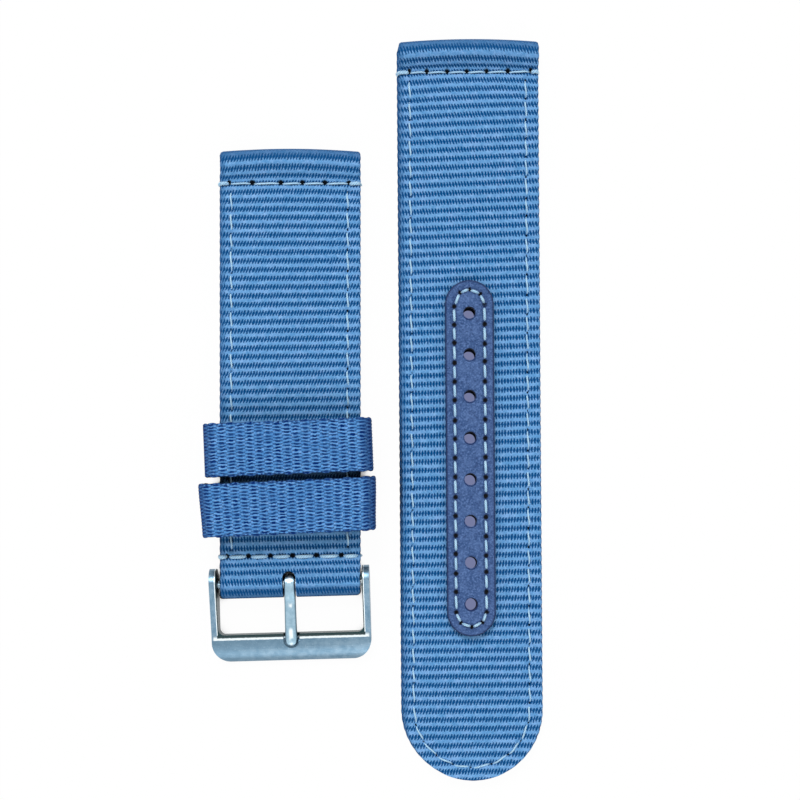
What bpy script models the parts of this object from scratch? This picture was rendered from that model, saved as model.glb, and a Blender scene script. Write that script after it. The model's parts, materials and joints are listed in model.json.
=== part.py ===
"""Two-piece canvas watch strap with a pin buckle, lying flat as a pair.

Units are metres and +Z is up. +Y points to the watch ends of both pieces, the back of the
strap faces down, and the origin is at the middle of the pair on the surface it lies on.
"""

import math

import bmesh
import bpy
from mathutils import Matrix

MM = 0.001

# Webbing: every ply is cut from one strip, and the back ply sits a little to the left.
STRAP_WIDTH = 24.0 * MM
PLY_SHIFT = 0.4 * MM
WEBBING_THICKNESS = 1.2 * MM
PLY_GAP = 0.2 * MM

# Long piece, with its holes and the leather patch over them.
LONG_LENGTH = 125.3 * MM
LONG_SEAM_FROM_END = 5.6 * MM
LONG_LEAN = math.radians(0.4)
HOLE_COUNT = 8
HOLE_PITCH = 7.0 * MM
HOLE_DIAMETER = 2.0 * MM
PATCH_WIDTH = 8.2 * MM
PATCH_END_MARGIN = 5.45 * MM
PATCH_THICKNESS = 1.1 * MM
PATCH_BEVEL = 0.2 * MM
PATCH_CENTRE_FROM_END = 70.8 * MM
PATCH_SEAM_INSET = 1.55 * MM

# Short piece, from its watch end to the axis of the buckle's bar.
SHORT_LENGTH = 73.4 * MM
SHORT_SEAM_FROM_END = 6.1 * MM
BUCKLE_SEAM_FROM_BAR = 4.55 * MM
BUTT_GAP = 0.3 * MM
LUG_END_STEP = 18.5 * MM
PIECES_GAP = 3.46 * MM

# Folded loops for the bars.
LUG_BORE_DIAMETER = 2.2 * MM
RAMP_TO_SEAM = 0.6 * MM
BUCKLE_TILT = math.radians(1.6)

# Seams.
THREAD_DIAMETER = 0.5 * MM
HEAVY_THREAD_DIAMETER = 0.64 * MM
FINE_THREAD_DIAMETER = 0.36 * MM
THREAD_GAP = 0.15 * MM
STITCH_LENGTH = 3.3 * MM
STITCH_RISE = 0.12 * MM
EDGE_SEAM_INSET = 2.2 * MM
SEAM_END_GAP = 1.3 * MM
CROSS_SEAM_INSET = 0.9 * MM
KEEPER_SEAM_INSET = 1.0 * MM

# Keepers: each leaves some room beside the strap, at both edges alike.
KEEPER_BAND_WIDTH = 9.0 * MM
KEEPER_THICKNESS = 0.8 * MM
KEEPER_CORNER_RADIUS = 2.0 * MM
TAIL_ROOM = 0.7 * MM
KEEPERS_GAP = 0.9 * MM
FREE_KEEPER_ROOM = 1.2 * MM
FREE_KEEPER_TILT = math.radians(2.3)
FIXED_KEEPER_ROOM = 1.6 * MM
FIXED_KEEPER_FROM_BAR = 13.0 * MM
FIXED_KEEPER_TILT = math.radians(2.6)
FIXED_KEEPER_FLARE = 0.35 * MM

# Buckle frame.
BUCKLE_ROOM = 0.25 * MM
ARM_THICKNESS = 1.2 * MM
EAR_OFFSET = 0.35 * MM
BAR_INNER_FROM_AXIS = 8.5 * MM
BAR_WIDTH = 4.65 * MM
BAR_HEIGHT = 2.8 * MM
BAR_NOSE_HEIGHT = 1.1 * MM
FRAME_OUTER_CORNER = 3.3 * MM
FRAME_INNER_CORNER = 1.0 * MM
FRAME_BEVEL = 0.28 * MM
NOTCH_SIDE_GAP = 0.4 * MM
NOTCH_END_GAP = 0.35 * MM

# Tongue.
TONGUE_LAP = 2.1 * MM
TONGUE_THICKNESS = 1.2 * MM
TONGUE_ROOT_WIDTH = 1.65 * MM
TONGUE_TIP_WIDTH = 2.0 * MM
TONGUE_RISE = 0.55 * MM
TONGUE_TIP_DROP = 0.1 * MM
TONGUE_TIP_ROUND_SHARE = 0.9
TONGUE_EYE_WALL = 0.55 * MM
TONGUE_BEVEL = 0.3 * MM
SLOT_END_GAP = 0.5 * MM

# Spring bar.
BAR_TUBE_DIAMETER = 1.8 * MM
BAR_TUBE_WALL = 0.25 * MM
TIP_SHOWING = 1.5 * MM
BAR_CRIMP_LENGTH = 0.4 * MM
TIP_NECK_DIAMETER = 0.7 * MM
TIP_HEAD_LENGTH = 1.5 * MM
TIP_COLLAR_DIAMETER = 1.4 * MM
TIP_COLLAR_LENGTH = 0.3 * MM
PIVOT_DIAMETER = 0.8 * MM
PIVOT_SKIN = 0.3 * MM
RUNNING_GAP = 0.15 * MM
SPRING_WIRE_DIAMETER = 0.2 * MM
SPRING_TURNS = 18

# Clearances.
SEAT_GAP = 0.3 * MM
OVERRUN = 2.0 * MM
WELD_DISTANCE = 0.001 * MM

# Smoothness of round shapes: an odd count gives the lug loops a face square to the watch.
HOLE_SIDES = 16
TURN_STEPS = 16
ARC_STEP = math.radians(15)
LUG_LOOP_FACES = 13
FINE_ARC_STEP = math.radians(10)
RAMP_STEPS = 6
SPRING_STEPS = 8
SHARP_ANGLE = math.radians(40)

# Sizes that follow from the ones above.
WEBBING_WIDTH = STRAP_WIDTH - PLY_SHIFT
STACK_HEIGHT = 2 * WEBBING_THICKNESS + PLY_GAP
PLY_OFFSET = (WEBBING_THICKNESS + PLY_GAP) / 2
HALF_STRAP = STRAP_WIDTH / 2
HALF_LONG = LONG_LENGTH / 2
LUG_LOOP_RADIUS = (LUG_BORE_DIAMETER + WEBBING_THICKNESS) / 2
LUG_LOOP_OUTSIDE = LUG_LOOP_RADIUS + WEBBING_THICKNESS / 2
BUCKLE_LOOP_RADIUS = BAR_TUBE_DIAMETER / 2 + SEAT_GAP + WEBBING_THICKNESS / 2
LONG_MIDDLE_Z = STACK_HEIGHT / 2
LONG_FACE_Z = STACK_HEIGHT
SHORT_BACK_Z = KEEPER_THICKNESS + SEAT_GAP
SHORT_MIDDLE_Z = SHORT_BACK_Z + STACK_HEIGHT / 2
SHORT_FACE_Z = SHORT_BACK_Z + STACK_HEIGHT
BAR_Y = HALF_LONG - LUG_END_STEP - SHORT_LENGTH
BUTT_FROM_BAR = FIXED_KEEPER_FROM_BAR
FREE_KEEPER_FROM_BAR = FIXED_KEEPER_FROM_BAR + KEEPER_BAND_WIDTH + KEEPERS_GAP
FREE_KEEPER_WIDTH = STRAP_WIDTH + 2 * (FREE_KEEPER_ROOM + KEEPER_THICKNESS)
FIXED_KEEPER_WIDTH = STRAP_WIDTH + 2 * (FIXED_KEEPER_ROOM + KEEPER_THICKNESS)
PATCH_LENGTH = (HOLE_COUNT - 1) * HOLE_PITCH + 2 * PATCH_END_MARGIN
PATCH_Y = HALF_LONG - PATCH_CENTRE_FROM_END
PATCH_BASE_Z = LONG_FACE_Z + SEAT_GAP
PATCH_FACE_Z = PATCH_BASE_Z + PATCH_THICKNESS
KEEPER_HEIGHT = SHORT_FACE_Z + PATCH_FACE_Z + TAIL_ROOM + KEEPER_THICKNESS
BUCKLE_INNER_WIDTH = STRAP_WIDTH + 2 * BUCKLE_ROOM
FRAME_HALF_WIDTH = BUCKLE_INNER_WIDTH / 2 + ARM_THICKNESS
EAR_RADIUS = SHORT_MIDDLE_Z
BAR_TUBE_BORE = BAR_TUBE_DIAMETER - 2 * BAR_TUBE_WALL
BAR_TUBE_LENGTH = BUCKLE_INNER_WIDTH - 2 * TIP_SHOWING
TIP_HEAD_DIAMETER = BAR_TUBE_BORE - 2 * RUNNING_GAP
PIVOT_REACH = ARM_THICKNESS - RUNNING_GAP - PIVOT_SKIN
TONGUE_LENGTH = BAR_INNER_FROM_AXIS + TONGUE_LAP
NOTCH_WIDTH = TONGUE_TIP_WIDTH + 2 * NOTCH_SIDE_GAP
NOTCH_REACH = TONGUE_LAP + NOTCH_END_GAP
EYE_BORE_RADIUS = BAR_TUBE_DIAMETER / 2 + RUNNING_GAP
EYE_RADIUS = EYE_BORE_RADIUS + TONGUE_EYE_WALL
SLOT_WIDTH = TONGUE_ROOT_WIDTH + 2 * SEAT_GAP
SLOT_REACH = EYE_RADIUS + SLOT_END_GAP
KEEPER_HALF_SPAN = (
    (FIXED_KEEPER_WIDTH / 2 + FIXED_KEEPER_FLARE) * math.cos(FIXED_KEEPER_TILT)
    + KEEPER_BAND_WIDTH / 2 * math.sin(FIXED_KEEPER_TILT)
)
PIECE_SPACING = KEEPER_HALF_SPAN + HALF_STRAP + PIECES_GAP
LONG_HALF_SPAN = HALF_STRAP * math.cos(LONG_LEAN) + (HALF_LONG - HALF_STRAP) * math.sin(LONG_LEAN)
SHORT_X = (KEEPER_HALF_SPAN - LONG_HALF_SPAN - PIECE_SPACING) / 2
LONG_X = SHORT_X + PIECE_SPACING


def clear_scene():
    for obj in list(bpy.data.objects):
        bpy.data.objects.remove(obj)


def new_collection(name):
    collection = bpy.data.collections.new(name)
    bpy.context.scene.collection.children.link(collection)
    return collection


def new_material(name, colour, roughness, metallic=0.0):
    material = bpy.data.materials.new(name)
    material.use_nodes = True
    shader = material.node_tree.nodes["Principled BSDF"]
    shader.inputs["Base Color"].default_value = (*colour, 1.0)
    shader.inputs["Roughness"].default_value = roughness
    shader.inputs["Metallic"].default_value = metallic
    material.diffuse_color = (*colour, 1.0)
    return material


def new_empty(name, collection, location, turn=0.0, parent=None):
    empty = bpy.data.objects.new(name, None)
    empty.empty_display_size = STRAP_WIDTH
    empty.location = location
    empty.rotation_euler = (0.0, 0.0, turn)
    empty.parent = parent
    collection.objects.link(empty)
    return empty


def arc(centre_u, centre_v, radius, start, end, step=ARC_STEP):
    """Points on an arc, both ends included."""
    count = max(2, round(abs(end - start) / step))
    angles = [start + (end - start) * i / count for i in range(count + 1)]
    return [(centre_u + radius * math.cos(a), centre_v + radius * math.sin(a)) for a in angles]


def ramp(start, end, steps=RAMP_STEPS):
    """Points of a smooth step between two points, level at both ends, without the ends."""
    points = []
    for i in range(1, steps):
        share = i / steps
        rise = (1 - math.cos(math.pi * share)) / 2
        points.append((start[0] + (end[0] - start[0]) * share, start[1] + (end[1] - start[1]) * rise))
    return points


def stadium(half_length, radius):
    """A closed outline with straight sides along v and round ends."""
    flat = half_length - radius
    top = arc(0.0, flat, radius, 0.0, math.pi, FINE_ARC_STEP)
    bottom = arc(0.0, -flat, radius, math.pi, 2 * math.pi, FINE_ARC_STEP)
    return top + bottom


def run_lengths(points):
    """The distance along the run at each of its points."""
    lengths = [0.0]
    for a, b in zip(points, points[1:]):
        lengths.append(lengths[-1] + math.dist(a, b))
    return lengths


def resample(points, count):
    """Evenly spaced points along a run, both ends included."""
    lengths = run_lengths(points)
    found = []
    segment = 0
    for i in range(count + 1):
        target = lengths[-1] * i / count
        while segment < len(points) - 2 and lengths[segment + 1] < target:
            segment += 1
        a, b = points[segment], points[segment + 1]
        share = (target - lengths[segment]) / (lengths[segment + 1] - lengths[segment])
        found.append(tuple(p + (q - p) * share for p, q in zip(a, b)))
    return found


def poly_curve(name, points, dimensions, cyclic=False):
    """A curve data block with one straight-edged spline."""
    curve = bpy.data.curves.new(name, "CURVE")
    curve.dimensions = dimensions
    spline = curve.splines.new("POLY")
    spline.points.add(len(points) - 1)
    for point, place in zip(spline.points, points):
        point.co = (*place, *[0.0] * (3 - len(place)), 1.0)
    spline.use_cyclic_u = cyclic
    return curve


def mesh_from_curve(curve):
    """The curve's mesh with its caps welded; the curve itself is removed."""
    holder = bpy.data.objects.new(curve.name, curve)
    bpy.context.scene.collection.objects.link(holder)
    graph = bpy.context.evaluated_depsgraph_get()
    mesh = bpy.data.meshes.new_from_object(holder.evaluated_get(graph))
    bpy.data.objects.remove(holder)
    bpy.data.curves.remove(curve)
    shape = bmesh.new()
    shape.from_mesh(mesh)
    bmesh.ops.remove_doubles(shape, verts=shape.verts, dist=WELD_DISTANCE)
    shape.to_mesh(mesh)
    shape.free()
    return mesh


def plate_mesh(name, outline, height):
    """A flat outline in u and v, solid from -height / 2 to height / 2 along w."""
    curve = poly_curve(name, outline, "2D", cyclic=True)
    curve.fill_mode = "BOTH"
    curve.extrude = height / 2
    return mesh_from_curve(curve)


def ribbon_mesh(name, points, height, cyclic=False):
    """An open wall that stands on a run in u and v, of the given height along w."""
    curve = poly_curve(name, points, "2D", cyclic)
    curve.fill_mode = "NONE"
    curve.extrude = height / 2
    return mesh_from_curve(curve)


def side_on(mesh):
    """Turns a mesh drawn in u, v, w so that u runs along Y, v along Z and w along X."""
    mesh.transform(Matrix(((0, 0, 1, 0), (1, 0, 0, 0), (0, 1, 0, 0), (0, 0, 0, 1))))
    return mesh


def place(name, data, collection, parent, location=(0.0, 0.0, 0.0), turn=(0.0, 0.0, 0.0)):
    obj = bpy.data.objects.new(name, data)
    obj.location = location
    obj.rotation_euler = turn
    obj.parent = parent
    collection.objects.link(obj)
    return obj


def dress(obj, material):
    obj.data.materials.append(material)
    if obj.type == "MESH":
        obj.data.shade_smooth()
        obj.data.set_sharp_from_angle(angle=SHARP_ANGLE)
    return obj


def solidify(obj, thickness):
    modifier = obj.modifiers.new("thickness", "SOLIDIFY")
    modifier.thickness = thickness
    modifier.offset = 0.0
    modifier.use_even_offset = True
    return obj


def bevel(obj, width, segments=2):
    modifier = obj.modifiers.new("edges", "BEVEL")
    modifier.width = width
    modifier.segments = segments
    modifier.limit_method = "ANGLE"
    modifier.angle_limit = SHARP_ANGLE
    return obj


def combine(obj, other, operation="DIFFERENCE"):
    modifier = obj.modifiers.new(other.name, "BOOLEAN")
    modifier.operation = operation
    modifier.object = other
    return obj


class Strap:
    """Holds the collections, the materials and the frames that the pieces are placed in."""

    def __init__(self):
        self.parts = new_collection("canvas_watch_strap")
        self.tools = new_collection("cutters")
        self.canvas = new_material("canvas_blue", (0.09, 0.25, 0.48), 0.85)
        self.keeper = new_material("keeper_blue", (0.06, 0.19, 0.45), 0.8)
        self.leather = new_material("patch_leather", (0.06, 0.11, 0.25), 0.6)
        self.thread = new_material("pale_thread", (0.5, 0.68, 0.8), 0.7)
        self.steel = new_material("satin_steel", (0.62, 0.66, 0.69), 0.28, 1.0)
        self.long = new_empty("long_piece", self.parts, (LONG_X, 0.0, 0.0), LONG_LEAN)
        self.short = new_empty("short_piece", self.parts, (SHORT_X, BAR_Y, 0.0))
        self.buckle = new_empty(
            "buckle_axis", self.parts, (0.0, 0.0, SHORT_MIDDLE_Z), BUCKLE_TILT, self.short
        )

    def cutter(self, name, mesh, parent, location=(0.0, 0.0, 0.0), turn=(0.0, 0.0, 0.0)):
        obj = place(name, mesh, self.tools, parent, location, turn)
        obj.hide_render = True
        obj.display_type = "WIRE"
        return obj

    def part(self, name, data, material, parent, location=(0.0, 0.0, 0.0), turn=(0.0, 0.0, 0.0)):
        return dress(place(name, data, self.parts, parent, location, turn), material)

    def round_cutter(self, name, places, radius, height, parent, turn=(0.0, 0.0, 0.0)):
        """Cylinders along local Z, one at each place, as one cutter."""
        shape = bmesh.new()
        for spot in places:
            bmesh.ops.create_cone(
                shape,
                cap_ends=True,
                segments=HOLE_SIDES,
                radius1=radius,
                radius2=radius,
                depth=height,
                matrix=Matrix.Translation(spot),
            )
        mesh = bpy.data.meshes.new(name)
        shape.to_mesh(mesh)
        shape.free()
        return self.cutter(name, mesh, parent, turn=turn)

    def groove(self, name, run, diameter, face_z, depth, upward, parent, cyclic=False):
        """A cutter for the channel that a thread of this diameter lies in."""
        height = depth + OVERRUN
        middle = face_z + upward * (OVERRUN - depth) / 2
        mesh = ribbon_mesh(name, run, height, cyclic)
        obj = self.cutter(name, mesh, parent, (0.0, 0.0, middle))
        return solidify(obj, diameter + 2 * THREAD_GAP)

    def thread_tube(self, name, points, diameter, parent, cyclic=False):
        curve = poly_curve(name, points, "3D", cyclic)
        curve.bevel_depth = diameter / 2
        curve.bevel_resolution = 1
        curve.use_fill_caps = not cyclic
        return self.part(name, curve, self.thread, parent)

    def needle_thread(self, name, run, diameter, face_z, carrier, parent, cyclic=False):
        """The top thread of a seam: it rises on each stitch and dips at each needle hole."""
        length = run_lengths(run)[-1]
        stitches = max(1, round(length / STITCH_LENGTH))
        places = resample(run, 2 * stitches)
        if cyclic:
            places.pop()
        points = [
            (x, y, face_z + (STITCH_RISE if i % 2 else -STITCH_RISE))
            for i, (x, y) in enumerate(places)
        ]
        depth = STITCH_RISE + diameter / 2 + THREAD_GAP
        outline = run[:-1] if cyclic else lengthened(run, diameter / 2 + THREAD_GAP)
        cut = self.groove(name + "_groove", outline, diameter, face_z, depth, 1, parent, cyclic)
        combine(carrier, cut)
        return self.thread_tube(name, points, diameter, parent, cyclic)

    def bobbin_thread(self, name, run, diameter, back_z, carrier, parent, cyclic=False):
        """The bottom thread of a seam, drawn in flush with the back."""
        points = [(x, y, back_z + diameter / 2) for x, y in (run[:-1] if cyclic else run)]
        outline = run[:-1] if cyclic else lengthened(run, THREAD_GAP)
        depth = diameter + THREAD_GAP
        cut = self.groove(name + "_groove", outline, diameter, back_z, depth, -1, parent, cyclic)
        combine(carrier, cut)
        return self.thread_tube(name, points, diameter, parent, cyclic)


def lengthened(run, extra):
    """The same run with each end carried on straight by a little."""
    found = list(run)
    for end, inner in ((0, 1), (-1, -2)):
        span = math.dist(run[end], run[inner])
        found[end] = tuple(p + (p - q) * extra / span for p, q in zip(run[end], run[inner]))
    return found


def shift_plies(mesh, middle_z, tilt=0.0):
    """Moves the face ply right and the back ply left, and slants the loop that carries a bar."""
    for vertex in mesh.vertices:
        share = max(-1.0, min(1.0, (vertex.co.z - middle_z) / PLY_OFFSET))
        vertex.co.x += share * PLY_SHIFT / 2
        vertex.co.y += vertex.co.x * math.tan(tilt) if vertex.co.y < BUTT_FROM_BAR else 0.0


def lug_loop(y, z):
    """Middle line of the fold round a watch's bar, whose axis lies at y and z."""
    step = math.pi / LUG_LOOP_FACES
    return arc(y, z, LUG_LOOP_RADIUS, -math.pi / 2, math.pi / 2, step)


def long_profile():
    """Side run of the long webbing: back ply, round the lug bar, and along the face."""
    back = WEBBING_THICKNESS / 2
    face = STACK_HEIGHT - back
    loop_y = HALF_LONG - LUG_LOOP_OUTSIDE
    loop_z = back + LUG_LOOP_RADIUS
    loop = lug_loop(loop_y, loop_z)
    landing = (HALF_LONG - LONG_SEAM_FROM_END + RAMP_TO_SEAM, face)
    ends = -HALF_LONG - OVERRUN
    return [(ends, back), *loop, *ramp(loop[-1], landing), landing, (ends, face)]


def long_edge_run(inset):
    """Plan of the seam down one edge, round the tip and up the other edge."""
    top = HALF_LONG - LONG_SEAM_FROM_END - SEAM_END_GAP
    turn_y = -HALF_LONG + HALF_STRAP
    radius = HALF_STRAP - inset
    tip = arc(0.0, turn_y, radius, math.pi, 2 * math.pi, FINE_ARC_STEP)
    return [(-radius, top), *tip, (radius, top)]


def cross_run(y, tilt=0.0):
    """Plan of a seam straight across the strap."""
    reach = HALF_STRAP - CROSS_SEAM_INSET
    rise = reach * math.tan(tilt)
    return [(-reach, y - rise), (reach, y + rise)]


def hole_places():
    middle = (HOLE_COUNT - 1) / 2
    return [(0.0, PATCH_Y + (i - middle) * HOLE_PITCH, 0.0) for i in range(HOLE_COUNT)]


def tip_cutter(strap):
    """Everything past the round tip of the long piece."""
    turn_y = -HALF_LONG + HALF_STRAP
    side = HALF_STRAP + OVERRUN
    low = -HALF_LONG - 2 * OVERRUN
    rim = arc(0.0, turn_y, HALF_STRAP, math.pi, 2 * math.pi, FINE_ARC_STEP / 2)
    outline = [(-side, turn_y), (-side, low), (side, low), (side, turn_y), *reversed(rim)]
    height = 2 * (STACK_HEIGHT + OVERRUN)
    return strap.cutter("tip_cutter", plate_mesh("tip_cutter", outline, height), strap.long)


def build_long_webbing(strap):
    mesh = side_on(ribbon_mesh("long_webbing", long_profile(), WEBBING_WIDTH))
    shift_plies(mesh, LONG_MIDDLE_Z)
    webbing = strap.part("long_webbing", mesh, strap.canvas, strap.long)
    solidify(webbing, WEBBING_THICKNESS)
    combine(webbing, tip_cutter(strap))
    drill = strap.round_cutter(
        "hole_drill", hole_places(), HOLE_DIAMETER / 2, 2 * (PATCH_FACE_Z + OVERRUN), strap.long
    )
    combine(webbing, drill)
    return webbing, drill


def build_long_seams(strap, webbing):
    edge = long_edge_run(EDGE_SEAM_INSET)
    lug = cross_run(HALF_LONG - LONG_SEAM_FROM_END)
    thread = THREAD_DIAMETER
    strap.needle_thread("long_edge_top_thread", edge, thread, LONG_FACE_Z, webbing, strap.long)
    strap.bobbin_thread("long_edge_under_thread", edge, thread, 0.0, webbing, strap.long)
    strap.needle_thread("long_lug_top_thread", lug, thread, LONG_FACE_Z, webbing, strap.long)
    strap.bobbin_thread("long_lug_under_thread", lug, thread, 0.0, webbing, strap.long)


def patch_seam_run():
    half = PATCH_LENGTH / 2 - PATCH_SEAM_INSET
    run = [(x, y + PATCH_Y) for x, y in stadium(half, PATCH_WIDTH / 2 - PATCH_SEAM_INSET)]
    return [*run, run[0]]


def build_patch(strap, webbing, drill):
    """The leather strip over the holes, and the seam round it."""
    outline = stadium(PATCH_LENGTH / 2, PATCH_WIDTH / 2)
    mesh = plate_mesh("hole_patch", outline, PATCH_THICKNESS)
    middle = PATCH_BASE_Z + PATCH_THICKNESS / 2
    patch = strap.part("hole_patch", mesh, strap.leather, strap.long, (0.0, PATCH_Y, middle))
    bevel(patch, PATCH_BEVEL, 1)
    combine(patch, drill)
    run = patch_seam_run()
    thread = THREAD_DIAMETER
    strap.needle_thread("patch_top_thread", run, thread, PATCH_FACE_Z, patch, strap.long, True)
    strap.bobbin_thread("patch_under_thread", run, thread, 0.0, webbing, strap.long, True)


def short_profile():
    """Side run of the short webbing: back ply, lug loop, face, buckle loop and turned end."""
    back = SHORT_MIDDLE_Z - PLY_OFFSET
    face = SHORT_MIDDLE_Z + PLY_OFFSET
    lug_y = SHORT_LENGTH - LUG_LOOP_OUTSIDE
    seam_y = SHORT_LENGTH - SHORT_SEAM_FROM_END + RAMP_TO_SEAM
    lug = lug_loop(lug_y, SHORT_MIDDLE_Z)
    bar_y = BUCKLE_SEAM_FROM_BAR - RAMP_TO_SEAM
    bar = arc(0.0, SHORT_MIDDLE_Z, BUCKLE_LOOP_RADIUS, math.pi / 2, 3 * math.pi / 2)
    run = [(BUTT_FROM_BAR + BUTT_GAP, back), (seam_y, back)]
    run += [*ramp(run[-1], lug[0]), *lug, *ramp(lug[-1], (seam_y, face)), (seam_y, face)]
    run += [(bar_y, face), *ramp((bar_y, face), bar[0]), *bar]
    run += [*ramp(bar[-1], (bar_y, back)), (bar_y, back), (BUTT_FROM_BAR, back)]
    return run


def slot_cutter(strap):
    """The opening that lets the tongue's eye reach the bar."""
    radius = SLOT_WIDTH / 2
    low = -BUCKLE_LOOP_RADIUS - OVERRUN
    top = arc(0.0, SLOT_REACH - radius, radius, 0.0, math.pi, FINE_ARC_STEP)
    outline = [(radius, low), *top, (-radius, low)]
    height = 2 * (BUCKLE_LOOP_RADIUS + OVERRUN)
    mesh = plate_mesh("slot_cutter", outline, height)
    return strap.cutter("slot_cutter", mesh, strap.buckle)


def build_short_webbing(strap):
    mesh = side_on(ribbon_mesh("short_webbing", short_profile(), WEBBING_WIDTH))
    shift_plies(mesh, SHORT_MIDDLE_Z, BUCKLE_TILT)
    webbing = strap.part("short_webbing", mesh, strap.canvas, strap.short)
    solidify(webbing, WEBBING_THICKNESS)
    combine(webbing, slot_cutter(strap))
    return webbing


def build_short_seams(strap, webbing):
    lug_y = SHORT_LENGTH - SHORT_SEAM_FROM_END
    side = HALF_STRAP - EDGE_SEAM_INSET
    cross = (("short_lug", lug_y, 0.0, THREAD_DIAMETER),)
    cross += (("buckle_end", BUCKLE_SEAM_FROM_BAR, BUCKLE_TILT, HEAVY_THREAD_DIAMETER),)
    for name, y, tilt, thread in cross:
        run = cross_run(y, tilt)
        top = name + "_top_thread"
        under = name + "_under_thread"
        strap.needle_thread(top, run, thread, SHORT_FACE_Z, webbing, strap.short)
        strap.bobbin_thread(under, run, FINE_THREAD_DIAMETER, SHORT_BACK_Z, webbing, strap.short)
    for name, x in (("short_left", -side), ("short_right", side)):
        start = BUCKLE_SEAM_FROM_BAR + SEAM_END_GAP + x * math.tan(BUCKLE_TILT)
        run = [(x, start), (x, lug_y - SEAM_END_GAP)]
        top = name + "_top_thread"
        under = name + "_under_thread"
        strap.needle_thread(top, run, THREAD_DIAMETER, SHORT_FACE_Z, webbing, strap.short)
        strap.bobbin_thread(under, run, FINE_THREAD_DIAMETER, SHORT_BACK_Z, webbing, strap.short)


def keeper_outline(width):
    """Middle line of a keeper's band, seen along the strap."""
    radius = KEEPER_CORNER_RADIUS
    side = (width - KEEPER_THICKNESS) / 2 - radius
    low = KEEPER_THICKNESS / 2 + radius
    high = KEEPER_HEIGHT - KEEPER_THICKNESS / 2 - radius
    corners = ((side, high, 0.0), (-side, high, 0.5), (-side, low, 1.0), (side, low, 1.5))
    run = []
    for u, v, half_turns in corners:
        start = half_turns * math.pi
        run += arc(u, v, radius, start, start + math.pi / 2)
    return run


def build_keeper(strap, name, width, from_bar, tilt, flare):
    """A closed band of narrow webbing; its upper mouth may stand open by the flare."""
    mesh = ribbon_mesh(name, keeper_outline(width), KEEPER_BAND_WIDTH, cyclic=True)
    mesh.transform(Matrix.Rotation(math.pi / 2, 4, "X"))
    for vertex in mesh.vertices:
        if vertex.co.y > 0:
            vertex.co.x *= 1 + flare / (width / 2)
    frame = new_empty(name + "_frame", strap.parts, (0.0, from_bar, 0.0), tilt, strap.short)
    keeper = solidify(strap.part(name, mesh, strap.keeper, frame), KEEPER_THICKNESS)
    half = KEEPER_BAND_WIDTH / 2 - KEEPER_SEAM_INSET
    run = [(0.0, -half), (0.0, half)]
    strap.bobbin_thread(name + "_thread", run, FINE_THREAD_DIAMETER, 0.0, keeper, frame)
    return keeper


def frame_plan():
    """Outline of the buckle frame from above: two arms and the front bar."""
    outer = FRAME_HALF_WIDTH
    inner = BUCKLE_INNER_WIDTH / 2
    top = EAR_RADIUS + EAR_OFFSET + OVERRUN
    front = -BAR_INNER_FROM_AXIS - BAR_WIDTH
    big = FRAME_OUTER_CORNER
    small = FRAME_INNER_CORNER
    inside = -BAR_INNER_FROM_AXIS + small
    outline = [(-outer, top)]
    outline += arc(-outer + big, front + big, big, math.pi, 3 * math.pi / 2)
    outline += arc(outer - big, front + big, big, 3 * math.pi / 2, 2 * math.pi)
    outline += [(outer, top), (inner, top)]
    outline += arc(inner - small, inside, small, 0.0, -math.pi / 2)
    outline += arc(-inner + small, inside, small, -math.pi / 2, -math.pi)
    outline += [(-inner, top)]
    return outline


def frame_side():
    """Outline of the buckle frame from the side: round ear, falling arm and rounded bar."""
    low = -EAR_RADIUS
    inner = -BAR_INNER_FROM_AXIS
    nose = low + BAR_NOSE_HEIGHT
    rise = BAR_HEIGHT - BAR_NOSE_HEIGHT
    ear = arc(EAR_OFFSET, 0.0, EAR_RADIUS, -math.pi / 2, math.pi / 2)
    turn = arc(0.0, 0.0, 1.0, math.pi / 2, math.pi)
    face = [(inner + BAR_WIDTH * u, nose + rise * v) for u, v in turn]
    return [*ear, *face, (inner - BAR_WIDTH, low)]


def build_frame(strap):
    top = EAR_RADIUS + OVERRUN
    mesh = plate_mesh("buckle_frame", frame_plan(), 2 * top)
    frame = strap.part("buckle_frame", mesh, strap.steel, strap.buckle)
    side = side_on(plate_mesh("frame_side", frame_side(), 2 * (FRAME_HALF_WIDTH + OVERRUN)))
    combine(frame, strap.cutter("frame_side", side, strap.buckle), "INTERSECT")
    bevel(frame, FRAME_BEVEL)
    reach = BUCKLE_INNER_WIDTH / 2 + PIVOT_REACH + RUNNING_GAP
    pivots = strap.round_cutter(
        "pivot_drill",
        [(0.0, 0.0, 0.0)],
        PIVOT_DIAMETER / 2 + RUNNING_GAP,
        2 * reach,
        strap.buckle,
        (0.0, math.pi / 2, 0.0),
    )
    combine(frame, pivots)
    combine(frame, notch_cutter(strap))
    return frame


def tongue_height(y):
    """Height of the tongue's middle line above the bar axis, at a distance y from it."""
    share = min(1.0, y / TONGUE_LENGTH)
    return TONGUE_RISE * math.sin(math.pi * share) - TONGUE_TIP_DROP * share**2


def tongue_width(y):
    """Width of the tongue at a distance y from the bar axis: it widens, then rounds off."""
    share = max(0.0, min(1.0, y / TONGUE_LENGTH))
    width = TONGUE_ROOT_WIDTH + (TONGUE_TIP_WIDTH - TONGUE_ROOT_WIDTH) * share
    radius = TONGUE_TIP_WIDTH / 2
    past = max(0.0, (y - TONGUE_LENGTH) / radius + 1) * TONGUE_TIP_ROUND_SHARE
    return width * math.sqrt(1 - min(past, TONGUE_TIP_ROUND_SHARE) ** 2)


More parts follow.
